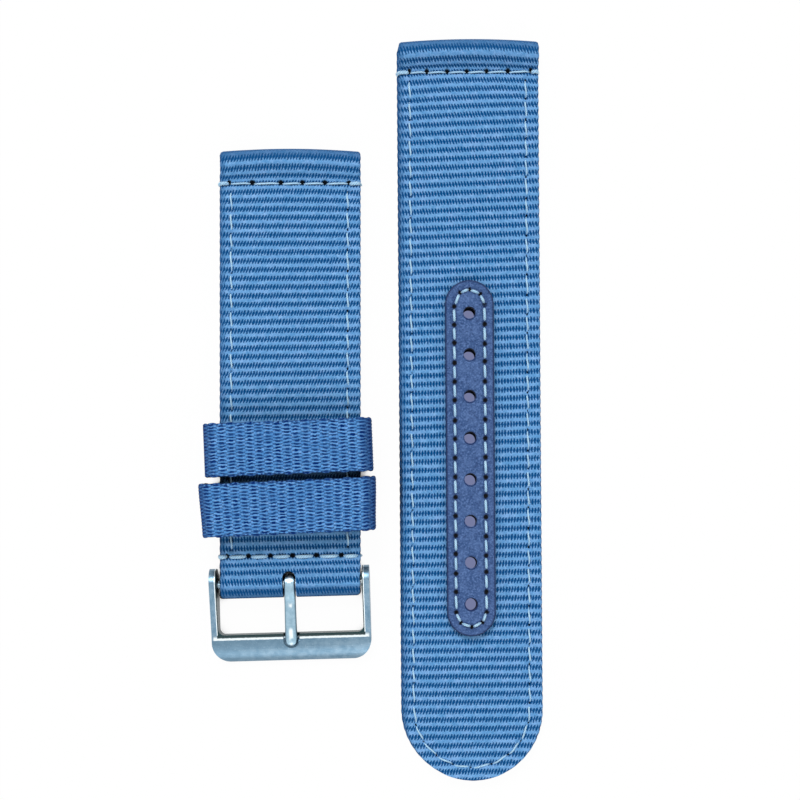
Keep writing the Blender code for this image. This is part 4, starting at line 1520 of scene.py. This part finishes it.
@dataclass
class Patch:
    """The leather patch, drawn as nested rings from its rim to its middle line."""

    sizes: LongSizes
    seam: Seam
    holes: list
    cell: float = 0.19 * MM
    rim_width: float = 0.5 * MM
    rim_height: float = 0.1 * MM
    rim_shade_width: float = 0.36 * MM
    groove_width: float = 0.42 * MM
    groove_depth: float = 0.2 * MM
    edge_round: float = 0.22 * MM
    pit_depth: float = 0.5 * MM
    pit_radius: float = 0.33 * MM
    hole_roll: float = 0.12 * MM
    roll_width: float = 0.16 * MM
    crease_depth: float = 0.12 * MM
    crease_width: float = 0.14 * MM
    crease_drop: float = 0.4 * MM
    crease_start: tuple = (0.9 * MM, 1.3 * MM)
    crease_end: tuple = (2.9 * MM, 2.2 * MM)
    soft_share: float = 0.29
    weld: float = 0.001 * MM

    def mesh(self) -> Mesh:
        """The patch's mesh in the piece's own frame."""
        radius = self.sizes.patch_width / 2
        spine, way = self.around(radius)
        inward, level = self.profile(radius)
        flat = spine[None] + way[None] * (radius - inward)[:, None, None]
        z = np.repeat(level[:, None], len(spine), axis=1)
        depth = np.repeat(inward[:, None], len(spine), axis=1)
        along, off = self.seam.locate(flat[..., 0], flat[..., 1])
        top = z >= self.sizes.patch_face - 1e-9
        off = np.where(top, off, NO_SEAM["seam_off"])
        z = z + np.where(top, self.relief(flat, depth, along, off), 0.0)
        mesh = grid_mesh("hole_patch_leather", np.dstack([flat, z])[:, ::-1], wrap=True)
        self.write_marks(mesh, *(values[:, ::-1] for values in (depth, along, off, flat)))
        self.join_halves(mesh)
        return mesh

    def profile(self, radius: float) -> tuple:
        """How far in from the rim each ring of the mesh lies, and how high."""
        base, face, soft = self.sizes.patch_base, self.sizes.patch_face, self.edge_round
        edge = [radius, soft, 0.0, 0.0, self.soft_share * soft, soft]
        count = round((radius - soft) / self.cell)
        more = np.linspace(soft, radius, count + 1)[1:]
        level = [base, base, base + soft, face - soft, face - self.soft_share * soft, face]
        return np.concatenate([edge, more]), np.concatenate([level, np.full(count, face)])

    def around(self, radius: float) -> tuple:
        """Points of the middle line and the way out from each, once round the patch."""
        flat = self.sizes.patch_half - radius
        ends = round(math.pi * radius / self.cell)
        side = round(2 * flat / self.cell)
        spine, way = [], []
        for sign in (1, -1):
            for i in range(ends):
                angle = math.pi * i / ends + (0.0 if sign > 0 else math.pi)
                spine.append((0.0, self.sizes.patch_y + sign * flat))
                way.append((math.cos(angle), math.sin(angle)))
            for i in range(side):
                spine.append((0.0, self.sizes.patch_y + sign * flat * (1 - 2 * i / side)))
                way.append((-sign, 0.0))
        return np.array(spine), np.array(way, float)

    def relief(self, flat: Array, depth: Array, along: Array, off: Array) -> Array:
        """Height of the face over its plain level: rim, groove, needle pits, rolled holes and a crease."""
        rim = self.rim_height * smooth_step(self.rim_width * 1.6, self.rim_width * 0.6, depth)
        groove = self.groove_depth * self.groove(off)
        height = rim - groove - seam_drop(self.pit_depth, self.pit_radius, along, off)
        for x, y in self.holes:
            gap = np.hypot(flat[..., 0] - x, flat[..., 1] - y) - self.sizes.hole_diameter / 2
            height = height - self.hole_roll * np.exp(-np.maximum(gap, 0.0) / self.roll_width)
        x, y = self.holes[-2]
        line = np.exp(-(((flat[..., 1] - y + self.crease_drop) / self.crease_width) ** 2))
        beside = flat[..., 0] - x
        reach = smooth_step(*self.crease_start, beside) * smooth_step(*self.crease_end, beside)
        return height - self.crease_depth * line * reach

    def groove(self, off: Array) -> Array:
        """How far points lie in the groove that the seam pulls in, from 0 to 1."""
        return np.exp(-((off / self.groove_width) ** 2))

    def write_marks(
        self, mesh: Mesh, depth: Array, along: Array, off: Array, flat: Array
    ) -> None:
        """Writes what the leather's shader reads at each vertex.

        Args:
            mesh: the patch's mesh.
            depth: distance in from the rim.
            along: place along the seam, in stitches.
            off: distance off the seam.
            flat: place in plan.
        """
        x, y = self.holes[0]
        values = {
            "seam_along": along,
            "seam_off": off,
            "seam_radius": np.full(off.shape, self.seam.radius),
            "seam_stretch": np.full(off.shape, self.seam.stretch),
            # where the shadow along the patch's outer edge is painted
            "rim": smooth_step(self.rim_shade_width, self.rim_shade_width / 3, depth),
            "groove": self.groove(off),
            "hole_across": flat[..., 0] - x,
            "hole_row": (flat[..., 1] - y) / self.sizes.hole_pitch,
        }
        for label, numbers in values.items():
            write_value(mesh, label, numbers)

    def join_halves(self, mesh: Mesh) -> None:
        """Joins the two halves where they meet on the middle line."""
        shape = bmesh.new()
        shape.from_mesh(mesh)
        bmesh.ops.delete(shape, geom=[f for f in shape.faces if len(f.verts) > 4], context="FACES_ONLY")
        bmesh.ops.remove_doubles(shape, verts=shape.verts, dist=self.weld)
        bmesh.ops.recalc_face_normals(shape, faces=shape.faces)
        shape.to_mesh(mesh)
        shape.free()


@dataclass(frozen=True)
class ShortSizes:
    """Sizes of the short piece."""

    length: float = 73.4 * MM
    seam_from_end: float = 6.1 * MM
    buckle_seam: float = 4.55 * MM
    buckle_seam_slant: float = 0.3
    back_z: float = 1.1 * MM
    buckle_loop: float = 1.8 * MM
    butt_from_bar: float = 13.0 * MM
    butt_gap: float = 0.3 * MM
    rib_skew: float = 0.0135
    skew_start: tuple = (64.0 * MM, 38.0 * MM)
    skew_end: tuple = (8.0 * MM, 20.0 * MM)
    tilt_reach: tuple = (12.0 * MM, 6.0 * MM)
    bow_reach: float = 14.0 * MM
    lean_places: tuple = (4.0 * MM, 16.0 * MM)
    yarn_leans: tuple = (-0.7, 1.0)
    fine_reach: float = 4.0 * MM
    slot_width: float = 2.25 * MM
    slot_reach: float = 2.1 * MM
    slot_foot: float = -1.0 * MM
    webbing: str = "short_webbing"
    lug_hole_shares: tuple = (0.07, 0.235, 0.44, 0.59, 0.75, 0.925)
    buckle_hole_shares: tuple = (0.055, 0.21, 0.365, 0.52, 0.69, 0.87)

    @property
    def watch_end(self) -> float:
        """How far the piece reaches at the watch end."""
        return self.length

    @property
    def middle_z(self) -> float:
        """Height of the middle between the plies, and of the buckle's bar."""
        return self.back_z + STRAP.stack / 2


class ShortPiece(StrapPiece):
    """The short piece: webbing folded round the watch's bar and round the buckle's bar."""

    def __init__(self, sizes: ShortSizes, finishes: Finishes, axis: "BuckleAxis") -> None:
        """Takes the piece's place from the buckle's hinge."""
        place = Matrix.Translation((axis.centre.x, axis.centre.y, 0.0))
        super().__init__(sizes, finishes, place, sizes.middle_z)
        self.tilt = axis.tilt

    def side_run(self) -> list:
        """Side run of the webbing: back ply, lug loop, face, buckle loop and turned end."""
        sizes = self.sizes
        back = self.middle - STRAP.ply_offset
        face = self.middle + STRAP.ply_offset
        seam = sizes.length - sizes.seam_from_end + STRAP.ramp_to_seam
        lug = lug_loop(sizes.length, self.middle)
        bar_y = sizes.buckle_seam - STRAP.ramp_to_seam
        bar = arc(0.0, self.middle, sizes.buckle_loop, math.pi / 2, 3 * math.pi / 2)
        run = [(sizes.butt_from_bar + sizes.butt_gap, back), (seam, back)]
        run += [*ramp(run[-1], lug[0]), *lug, *ramp(lug[-1], (seam, face)), (seam, face)]
        run += [(bar_y, face), *ramp((bar_y, face), bar[0]), *bar]
        run += [*ramp(bar[-1], (bar_y, back)), (bar_y, back), (sizes.butt_from_bar, back)]
        return run

    def skew(self, x: Array, y: Array) -> Array:
        """How far the buckle end is slanted with the bar that it goes round."""
        return x * math.tan(self.tilt) * smooth_step(*self.sizes.tilt_reach, y)

    def seams(self) -> list:
        """Every seam of the piece, one on each skin."""
        sizes = self.sizes
        lug_y = sizes.length - sizes.seam_from_end
        reach = STRAP.half - STRAP.cross_seam_inset
        rise = reach * math.tan(self.tilt) * sizes.buckle_seam_slant
        lug = ("short_lug", ((-reach, lug_y), (reach, lug_y)), sizes.lug_hole_shares, LUG_THREAD)
        buckle_ends = ((-reach, sizes.buckle_seam - rise), (reach, sizes.buckle_seam + rise))
        buckle = ("buckle_end", buckle_ends, sizes.buckle_hole_shares, BUCKLE_THREAD)
        made = []
        for side in Side:
            for name, ends, shares, thread in (lug, buckle):
                made.append(Seam.across(f"{name}_{side.label}_thread", ends, shares, side, thread))
            for name, sign in (("short_left", -1), ("short_right", 1)):
                x = sign * (STRAP.half - STRAP.edge_seam_inset)
                start = sizes.buckle_seam + STRAP.seam_end_gap + x * math.tan(self.tilt)
                run = [(x, start), (x, lug_y - STRAP.seam_end_gap)]
                made.append(Seam.along(f"{name}_{side.label}_thread", run, side, seed=5 + sign))
        return made

    def build(self) -> None:
        """Builds the webbing, with the slot for the tongue, and its threads."""
        sizes = self.sizes
        seams = self.seams()
        weave = WebbingSizes(lean_places=sizes.lean_places, lean_values=sizes.yarn_leans)
        strip = Webbing(weave, self.side_run(), lambda y, z: z > self.middle or y < sizes.fine_reach)
        obj = self.lay_webbing(strip, strip.rows(None, self.rib_lag), self.skew, seams)
        cut(obj, self.slot(), Solver.QUICK)
        settle(obj, "strap", "canvas", sizes.webbing)
        self.sew(seams, {})

    def slot(self) -> Mesh:
        """The cutter for the tongue's slot, in the CAD's frame."""
        radius = self.sizes.slot_width / 2
        low = -2.5 * self.sizes.buckle_loop
        top = arc(0.0, self.sizes.slot_reach - radius, radius, 0.0, math.pi)
        outline = [(-radius, low), (radius, low), *top]
        tool = prism("slot", outline, self.sizes.slot_foot, STRAP.cutter_top)
        tool.transform(self.place @ Matrix.Rotation(self.tilt, 4, "Z"))
        return tool


@dataclass(frozen=True)
class KeeperSizes:
    """Sizes of one keeper: a closed band of narrow webbing."""

    name: str
    body: str
    room: float
    from_bar: float
    tilt: float
    flare: float = 0.0
    band: float = 9.0 * MM
    thickness: float = 0.8 * MM
    corner: float = 2.0 * MM
    height: float = 9.2 * MM
    seam_inset: float = 1.0 * MM
    float_width: float = 0.5625 * MM
    float_length: float = 1.52 * MM
    depth: float = 0.16 * MM
    edge_round: float = 0.34 * MM
    look: float = 0.1 * MM
    columns: int = 47
    rows_per_pick: int = 8
    turn: tuple = (67, 45, 22, 0, -22, -45, -67)
    # strengths of the shade painted on the band's corners, edges and inner skin
    corner_shade: float = 0.62
    edge_shade: float = 0.7
    inner_shade: float = 0.95

    @property
    def width(self) -> float:
        """Width of the band's outside."""
        return STRAP.width + 2 * (self.room + self.thickness)


FREE_KEEPER = KeeperSizes(
    name="free_keeper", body="sliding_keeper", room=1.2 * MM, from_bar=22.9 * MM, tilt=math.radians(2.3)
)
FIXED_KEEPER = KeeperSizes(
    name="fixed_keeper",
    body="strap",
    room=1.6 * MM,
    from_bar=13.0 * MM,
    tilt=math.radians(2.6),
    flare=0.35 * MM,
)


class Keeper:
    """A keeper: a closed band woven in staggered floats, with rolled selvages."""

    def __init__(self, sizes: KeeperSizes, finishes: Finishes, axis: "BuckleAxis") -> None:
        """Takes the keeper's place from the buckle's hinge."""
        self.sizes = sizes
        self.finishes = finishes
        shift = Matrix.Translation((axis.centre.x, axis.centre.y + sizes.from_bar, 0.0))
        self.place = shift @ Matrix.Rotation(sizes.tilt, 4, "Z")

    def outline(self) -> Array:
        """Middle line of the band as (x, z) points, once round."""
        sizes = self.sizes
        radius = sizes.corner
        side = (sizes.width - sizes.thickness) / 2 - radius
        low = sizes.thickness / 2 + radius
        high = sizes.height - sizes.thickness / 2 - radius
        run = []
        for u, v, turns in ((side, high, 0.0), (-side, high, 0.5), (-side, low, 1.0), (side, low, 1.5)):
            run += arc(u, v, radius, turns * math.pi, (turns + 0.5) * math.pi)
        return np.array([*run, run[0]])

    def build(self) -> None:
        """Builds the band and the thread that closes it."""
        sizes = self.sizes
        obj = add_piece(sizes.name + "_webbing", self.band_mesh(), self.place, self.finishes.keeper)
        settle(obj, sizes.body, "keeper_webbing", sizes.name)
        reach = sizes.band / 2 - sizes.seam_inset
        seam = Seam.along(sizes.name + "_thread", [(0.0, -reach), (0.0, reach)], Side.BACK)
        seam.sew(STRAP.table_gap, sizes.body, self.place, self.finishes.thread)

    def band_mesh(self) -> Mesh:
        """The band's mesh in its own frame, with the floats as relief."""
        sizes = self.sizes
        outline = self.outline()
        total = run_lengths(outline)[-1]
        picks = 2 * round(total / sizes.float_length / 2)
        count = picks * sizes.rows_per_pick
        places = np.arange(count) * total / count
        middle = read_run(outline, places)
        before, after = ((places + step) % total for step in (-sizes.look, sizes.look))
        out = outward(outline, before, after)
        across, height, way_y, way_out = (column[None, :] for column in self.section().T)
        pick = (places / total * picks)[:, None]
        relief = self.relief(across, pick)
        height = height + relief * way_out
        y = across + relief * way_y
        flare = 1 + sizes.flare / (sizes.width / 2) * smooth_step(-0.5 * sizes.band, 0.5 * sizes.band, y)
        x = (middle[:, :1] + out[:, :1] * height) * flare
        z = middle[:, 1:] + out[:, 1:] * height
        mesh = grid_mesh(sizes.name, np.stack([x, y, z], axis=-1), wrap=True, loop=True)
        self.write_weave(mesh, across + 0 * x, pick + 0 * x, picks)
        write_value(mesh, "painted_shade", self.painted_shade(out, way_y, way_out))
        return mesh

    def section(self) -> Array:
        """The band's cross-section: across, height and the way that its skin faces."""
        sizes = self.sizes
        half, high, soft = sizes.band / 2, sizes.thickness / 2, sizes.edge_round
        flat = np.linspace(-half + soft, half - soft, sizes.columns)
        ring = []
        for sign, row in ((1, flat), (-1, flat[::-2])):
            ring += [(x, sign * high, 0.0, sign) for x in row]
            for degrees in sizes.turn:
                u, v = math.cos(math.radians(degrees)), sign * math.sin(math.radians(degrees))
                ring.append((sign * (half - soft + soft * u), v * high, sign * u, v))
        return np.array(ring)

    def relief(self, across: Array, pick: Array) -> Array:
        """Height of the staggered floats over the smooth band."""
        row = across / self.sizes.float_width + 0.5 * (np.floor(pick) % 2)
        over = np.cos(math.pi * (row % 1.0 - 0.5)) ** 0.6
        along = np.cos(math.pi * (pick % 1.0 - 0.5)) ** 0.5
        return self.sizes.depth * (over * along - 0.8)

    def write_weave(self, mesh: Mesh, across: Array, pick: Array, picks: int) -> None:
        """Writes the weave's coordinates, with the last row running on to the first."""
        write_uv(mesh, "weave", across / self.sizes.float_width, pick)
        layer = mesh.uv_layers["weave"].data
        values = np.zeros(2 * len(layer), np.float32)
        layer.foreach_get("uv", values)
        values = values.reshape(-1, 4, 2)
        rows = values[..., 1]
        crossing = rows.max(axis=1, keepdims=True) - rows.min(axis=1, keepdims=True) > 1.0
        rows += picks * (crossing & (rows < 1.0))
        layer.foreach_set("uv", values.ravel())
        for label in ("seam_off", "seam_along"):
            write_value(mesh, label, np.full(across.size, NO_SEAM[label]))

    def painted_shade(self, out: Array, way_y: Array, way_out: Array) -> Array:
        """Painted shade: how dark the colour is painted at the band's corners, on its edges and on its inner
        skin.
        """
        corner = self.sizes.corner_shade * smooth_step(0.0, 0.85, np.abs(out[:, :1]))
        edge = self.sizes.edge_shade * np.abs(way_y)
        inside = self.sizes.inner_shade * (way_out < -0.5)
        return np.maximum(np.maximum(corner, edge), inside)


class BuckleAxis:
    """Where the buckle turns, as the CAD hinge states it."""

    def __init__(self) -> None:
        """Reads the hinge from the frame."""
        hinge = next(j for j in frame["record"]["behaviour"]["joints"] if j["name"] == "buckle_hinge")
        self.centre = Vector(hinge["pos_m"])
        along = Vector(hinge["axis"])
        self.tilt = math.atan2(-along.y, -along.x)
        self.place = Matrix.Translation(self.centre) @ Matrix.Rotation(self.tilt, 4, "Z")


@dataclass(frozen=True)
class BuckleSizes:
    """Sizes of the buckle's frame and tongue."""

    inner_width: float = 24.5 * MM
    arm: float = 1.2 * MM
    ear_radius: float = 2.4 * MM
    ear_offset: float = 0.35 * MM
    bar_inner: float = 8.5 * MM
    bar_width: float = 4.65 * MM
    bar_height: float = 2.8 * MM
    nose: float = 1.1 * MM
    outer_corner: float = 3.3 * MM
    inner_corner: float = 1.0 * MM
    bevel: float = 0.5 * MM
    tongue_bevel: float = 0.56 * MM
    tongue_lap: float = 2.1 * MM
    tongue_thickness: float = 1.2 * MM
    tongue_swell: float = 4.2 * MM
    tongue_root: float = 1.8 * MM
    tongue_tip: float = 2.0 * MM
    tongue_rise: float = 0.55 * MM
    tongue_drop: float = 0.1 * MM
    eye_bore: float = 1.05 * MM
    eye_wall: float = 0.55 * MM
    notch_side: float = 0.4 * MM
    notch_end: float = 0.35 * MM
    seat: float = 0.3 * MM
    pivot_bore: float = 0.55 * MM
    pivot_reach: float = 0.9 * MM
    pivot_step: float = math.radians(15)
    eye_step: float = math.radians(10)
    tip_step: float = math.radians(12)
    overrun: float = 2.0 * MM

    @property
    def tongue_length(self) -> float:
        """From the bar's axis to the tongue's tip."""
        return self.bar_inner + self.tongue_lap

    @property
    def eye_radius(self) -> float:
        """Outer radius of the tongue's eye."""
        return self.eye_bore + self.eye_wall


class Buckle:
    """The buckle's frame and its tongue, with round edges and a satin finish."""

    def __init__(self, sizes: BuckleSizes, finishes: Finishes, axis: BuckleAxis) -> None:
        """Takes the buckle's place from its hinge."""
        self.sizes = sizes
        self.finishes = finishes
        self.place = axis.place

    def plan(self) -> list:
        """Outline of the frame from above: two arms and the front bar."""
        s = self.sizes
        outer, inner = s.inner_width / 2 + s.arm, s.inner_width / 2
        top = s.ear_radius + s.ear_offset + s.overrun
        front = -s.bar_inner - s.bar_width
        inside = -s.bar_inner + s.inner_corner
        outline = [(-outer, top)]
        for x, turns in ((-outer + s.outer_corner, 1.0), (outer - s.outer_corner, 1.5)):
            start = turns * math.pi
            outline += arc(x, front + s.outer_corner, s.outer_corner, start, start + math.pi / 2)
        outline += [(outer, top), (inner, top)]
        outline += arc(inner - s.inner_corner, inside, s.inner_corner, 0.0, -math.pi / 2)
        outline += arc(-inner + s.inner_corner, inside, s.inner_corner, -math.pi / 2, -math.pi)
        return [*outline, (-inner, top)]

    def side(self) -> list:
        """Outline of the frame from the side: round ear, falling arm and rounded bar."""
        s = self.sizes
        low = -s.ear_radius
        nose = low + s.nose
        rise = s.bar_height - s.nose
        ear = arc(s.ear_offset, 0.0, s.ear_radius, -math.pi / 2, math.pi / 2)
        turn = arc(0.0, 0.0, 1.0, math.pi / 2, math.pi)
        face = [(-s.bar_inner + s.bar_width * u, nose + rise * v) for u, v in turn]
        return [*ear, *face, (-s.bar_inner - s.bar_width, low)]

    def side_on(self, mesh: Mesh) -> Mesh:
        """Turns a solid drawn in y, z and x into its place."""
        mesh.transform(Matrix(((0, 0, 1, 0), (1, 0, 0, 0), (0, 1, 0, 0), (0, 0, 0, 1))))
        return mesh

    def rounded(self, obj: Object, width: float) -> None:
        """Rounds an object's edges."""
        modifier = obj.modifiers.new("edges", "BEVEL")
        modifier.width = width
        modifier.segments = 5
        modifier.limit_method = "ANGLE"
        modifier.angle_limit = math.radians(35)
        modifier.harden_normals = False
        apply_modifiers(obj)

    def smooth(self, obj: Object) -> None:
        """Shades an object smoothly, with its faces setting the normals."""
        obj.data.shade_smooth()
        obj.data.set_sharp_from_angle(angle=math.radians(50))
        obj.modifiers.new("shading", "WEIGHTED_NORMAL")
        apply_modifiers(obj)

    def build(self) -> None:
        """Builds the frame and the tongue."""
        self.build_frame()
        self.build_tongue()

    def build_frame(self) -> None:
        """Builds the frame: plan and side view in one, with the notch and the pivots' holes."""
        s = self.sizes
        high = s.ear_radius + s.overrun
        body = prism("frame", self.plan(), -high, high)
        obj = add_piece("buckle_frame_steel", body, Matrix(), self.finishes.steel)
        reach = s.inner_width / 2 + s.arm + s.overrun
        cut(obj, self.side_on(prism("side", self.side(), -reach, reach)), Solver.EXACT, "INTERSECT")
        self.rounded(obj, s.bevel)
        pivot = s.inner_width / 2 + s.pivot_reach
        bore = circle(0.0, 0.0, s.pivot_bore, s.pivot_step)
        cut(obj, self.side_on(prism("pivots", bore, -pivot, pivot)), Solver.EXACT)
        cut(obj, self.notch(), Solver.EXACT)
        self.smooth(obj)
        places = read_vertices(obj.data)
        write_value(obj.data, "from_middle", places[:, 0])
        write_value(obj.data, "behind_edge", -places[:, 1] - s.bar_inner)
        obj.data.transform(self.place)
        settle(obj, "frame", "steel", "buckle_frame")

    def notch(self) -> Mesh:
        """The cutter for the cradle that the tongue comes down into."""
        s = self.sizes
        radius = s.tongue_tip / 2 + s.notch_side
        reach = s.tongue_lap + s.notch_end
        low = self.tongue_height(s.bar_inner + reach) - s.tongue_thickness / 2 - s.seat
        foot = arc(0.0, -s.bar_inner - reach + radius, radius, -math.pi, 0.0)
        edge = -s.bar_inner + s.overrun
        return prism("notch", [(-radius, edge), *foot, (radius, edge)], low, low + s.ear_radius + s.overrun)

    def tongue_height(self, y: float) -> float:
        """Height of the tongue's middle line above the bar's axis, at a distance from it."""
        share = min(1.0, y / self.sizes.tongue_length)
        return self.sizes.tongue_rise * math.sin(math.pi * share) - self.sizes.tongue_drop * share**2

    def tongue_crown(self, y: float) -> float:
        """Height of the tongue's upper skin, which runs down smoothly from the top of its eye."""
        s = self.sizes
        swell = 0.5 + 0.5 * math.cos(math.pi * min(1.0, y / s.tongue_swell))
        shank = self.tongue_height(y) + s.tongue_thickness / 2
        return shank + (s.eye_radius - s.tongue_thickness / 2) * swell

    def tongue_width(self, y: Array) -> Array:
        """Width of the tongue at distances from the bar's axis: it widens, and its ends are round."""
        s = self.sizes
        share = np.clip(y / s.tongue_length, 0.0, 1.0)
        width = s.tongue_root + (s.tongue_tip - s.tongue_root) * share
        past = np.clip((y - s.tongue_length) / (s.tongue_tip / 2) + 1, 0.0, 1.0)
        behind = np.clip((-y - s.eye_radius) / (s.tongue_root / 2) + 1, 0.0, 1.0)
        return width * np.sqrt(1 - (0.93 * np.maximum(past, behind)) ** 2)

    def build_tongue(self) -> None:
        """Builds the tongue: a rounded shank that grows out of its eye."""
        s = self.sizes
        half = s.tongue_thickness / 2
        join = math.asin(half / s.eye_radius)
        eye = arc(0.0, 0.0, s.eye_radius, -math.pi + join, math.pi / 2)
        start = s.eye_radius * math.cos(join)
        places = np.linspace(start, s.tongue_length - half, 40)[1:]
        upper = [(-y, self.tongue_crown(y)) for y in np.linspace(0.0, s.tongue_length - half, 48)[1:]]
        lower = [(-y, self.tongue_height(y) - half) for y in places[::-1]]
        end = places[-1]
        tip = arc(-end, self.tongue_height(end), half, math.pi / 2, 3 * math.pi / 2, s.tip_step)
        outline = [*eye, *upper[:-1], *tip, *lower[1:]]
        mesh = self.side_on(prism("tongue", outline, -s.tongue_tip / 2, s.tongue_tip / 2))
        places = read_vertices(mesh)
        places[:, 0] *= self.tongue_width(-places[:, 1]) / s.tongue_tip
        mesh.vertices.foreach_set("co", places.astype(np.float32).ravel())
        obj = add_piece("buckle_tongue_steel", mesh, Matrix(), self.finishes.pin_steel)
        self.rounded(obj, s.tongue_bevel)
        bore = circle(0.0, 0.0, s.eye_bore, s.eye_step)
        cut(obj, self.side_on(prism("eye", bore, -2 * s.tongue_tip, 2 * s.tongue_tip)), Solver.EXACT)
        self.smooth(obj)
        places = read_vertices(obj.data)
        write_value(obj.data, "side", 2 * places[:, 0] / self.tongue_width(-places[:, 1]))
        obj.data.transform(self.place)
        settle(obj, "tongue", "steel", "buckle_tongue")


class SpringBar:
    """The sprung bar, whose CAD nodes stay and get the steel."""

    nodes = ("spring_bar_tube", "spring_bar_tip_left", "spring_bar_tip_right", "spring_bar_spring")

    def __init__(self, finishes: Finishes) -> None:
        """Takes the materials."""
        self.finishes = finishes

    def dress(self) -> None:
        """Gives the CAD nodes their finish."""
        for name in self.nodes:
            for slot in frame["nodes"][name].material_slots:
                slot.material = self.finishes.pin_steel
            LOG.info("%s: dressed", name)


@dataclass(frozen=True)
class StudioSizes:
    """Where the camera stands and how the strap is lit."""

    camera: tuple = (8.916 * MM, -8.448 * MM, 279.0 * MM)
    lens: float = 73.65
    sensor: float = 36.0
    shift: tuple = (-0.03125, 0.075)
    floor_side: float = 900.0 * MM
    sky_low: float = 0.18
    sky_high: float = 0.86
    sky_top: float = 0.6
    key_power: float = 1.35
    key_turn: tuple = (math.radians(-36), 0.0, math.radians(14))
    key_size: float = math.radians(20)
    low_power: float = 0.4
    low_turn: tuple = (math.radians(46), 0.0, math.radians(8))
    low_size: float = math.radians(30)
    floor_glow: float = 0.97
    floor_shade: float = 3.0 * MM
    floor_reach: float = 8.0 * MM
    floor_samples: int = 16
    floor_drop: float = 0.02 * MM
    table: tuple = (0.9, 0.9, 0.9, 1.0)
    table_roughness: float = 0.9
    # colour of the shade painted on the floor in narrow gaps
    deep: tuple = (0.01, 0.01, 0.02, 1.0)
    # colour of the dim glow that stands for shaded floor under the patch's holes
    hole_shade_glow: tuple = linear(118, 124, 160)
    glow_edge: float = 1.0 * MM
    white: tuple = (1.0, 1.0, 1.0, 1.0)
    clip: tuple = (10.0 * MM, 4.0)


class Studio:
    """Camera, floor, sky and lamp."""

    def __init__(self, sizes: StudioSizes) -> None:
        """Takes the sizes of the setting."""
        self.sizes = sizes

    def build(self) -> None:
        """Builds the whole setting."""
        self.build_camera()
        self.build_floor()
        self.build_sky()
        sizes = self.sizes
        self.build_lamp("key", sizes.key_power, sizes.key_turn, sizes.key_size)
        self.build_lamp("low", sizes.low_power, sizes.low_turn, sizes.low_size)
        bpy.context.scene.view_settings.view_transform = "Standard"

    def build_camera(self) -> None:
        """Puts the camera straight above, shifted to the photo's frame."""
        data = bpy.data.cameras.new("camera")
        data.lens = self.sizes.lens
        data.sensor_width = self.sizes.sensor
        data.shift_x, data.shift_y = self.sizes.shift
        data.clip_start, data.clip_end = self.sizes.clip
        camera = link("camera", data)
        camera.location = self.sizes.camera
        bpy.context.scene.camera = camera

    def build_floor(self) -> None:
        """A white table that takes a faint shadow, with shade painted dark in narrow gaps."""
        sizes = self.sizes
        half = sizes.floor_side / 2
        corners = [(-half, -half, 0.0), (half, -half, 0.0), (half, half, 0.0), (-half, half, 0.0)]
        mesh = bpy.data.meshes.new("floor")
        mesh.from_pydata(corners, [], [range(len(corners))])
        table = Material("white_table", sizes.table, Roughness=sizes.table_roughness)
        clear = table.step(table.open_air(sizes.floor_shade), 0.18, 0.4, 0.0, sizes.floor_glow)
        narrow = table.step(table.open_air(sizes.floor_reach, sizes.floor_samples), 0.17, 0.06)
        # painted shade in narrow gaps
        table.paint(narrow, sizes.deep)
        holes = self.under_holes(table)
        glow = table.node("ShaderNodeEmission")
        # a dim glow painted as shade on the floor under the patch's holes
        table.feed(glow.inputs["Color"], table.mix(holes, sizes.white, sizes.hole_shade_glow))
        shown = table.seen() * table.highest(clear * (1.0 - narrow), holes)
        blend = table.node("ShaderNodeMixShader")
        shaders = (Field(table, table.shader.outputs[0]), Field(table, glow.outputs[0]))
        for target, value in zip(blend.inputs, (shown, *shaders)):
            table.feed(target, value)
        table.feed(table.shader.inputs["Base Color"], table.colour)
        table.feed(table.tree.nodes["Material Output"].inputs[0], Field(table, blend.outputs[0]))
        mesh.materials.append(table.made)
        floor = link("floor", mesh)
        floor.location.z = -sizes.floor_drop

    def under_holes(self, table: Material) -> Field:
        """1 on the floor under the patch, where a dim glow stands for the shaded floor seen through its
        holes.
        """
        low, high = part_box("hole_patch")
        centre, half = (low + high) / 2, (high - low) / 2
        across, along, _ = table.split(table.read("ShaderNodeTexCoord", "Object"))
        edge = self.sizes.glow_edge
        in_width = table.step(abs(across - centre.x), half.x, half.x - edge)
        return in_width * table.step(abs(along - centre.y), half.y, half.y - edge)

    def build_sky(self) -> None:
        """Even light from all round, white where the camera sees it."""
        sizes = self.sizes
        world = bpy.data.worlds.new("sky")
        world.use_nodes = True
        sky = Graph(world.node_tree)
        back = world.node_tree.nodes["Background"]
        height = sky.split(sky.read("ShaderNodeTexCoord", "Generated"))[2]
        light = sky.step(height, -0.1, 0.65, sizes.sky_low, sizes.sky_high)
        light = light * sky.step(height, 0.7, 1.0, 1.0, sizes.sky_top)
        sky.feed(back.inputs["Color"], sizes.white)
        sky.feed(back.inputs["Strength"], sky.highest(light, sky.seen()))
        bpy.context.scene.world = world

    def build_lamp(self, name: str, power: float, turn: tuple, size: float) -> None:
        """Adds a distant soft lamp, turned from straight down; size is the angle that it covers."""
        data = bpy.data.lights.new(name, "SUN")
        data.energy = power
        data.angle = size
        link(name, data).rotation_euler = turn


def main() -> None:
    """Builds the strap piece by piece, then its setting."""
    logging.basicConfig(level=logging.INFO, format="%(name)s %(message)s")
    finishes = Finishes.make()
    axis = BuckleAxis()
    LongPiece(LongSizes(), finishes).build()
    ShortPiece(ShortSizes(), finishes, axis).build()
    for keeper in (FREE_KEEPER, FIXED_KEEPER):
        Keeper(keeper, finishes, axis).build()
    Buckle(BuckleSizes(), finishes, axis).build()
    SpringBar(finishes).dress()
    Studio(StudioSizes()).build()


if __name__ == "__main__":
    main()
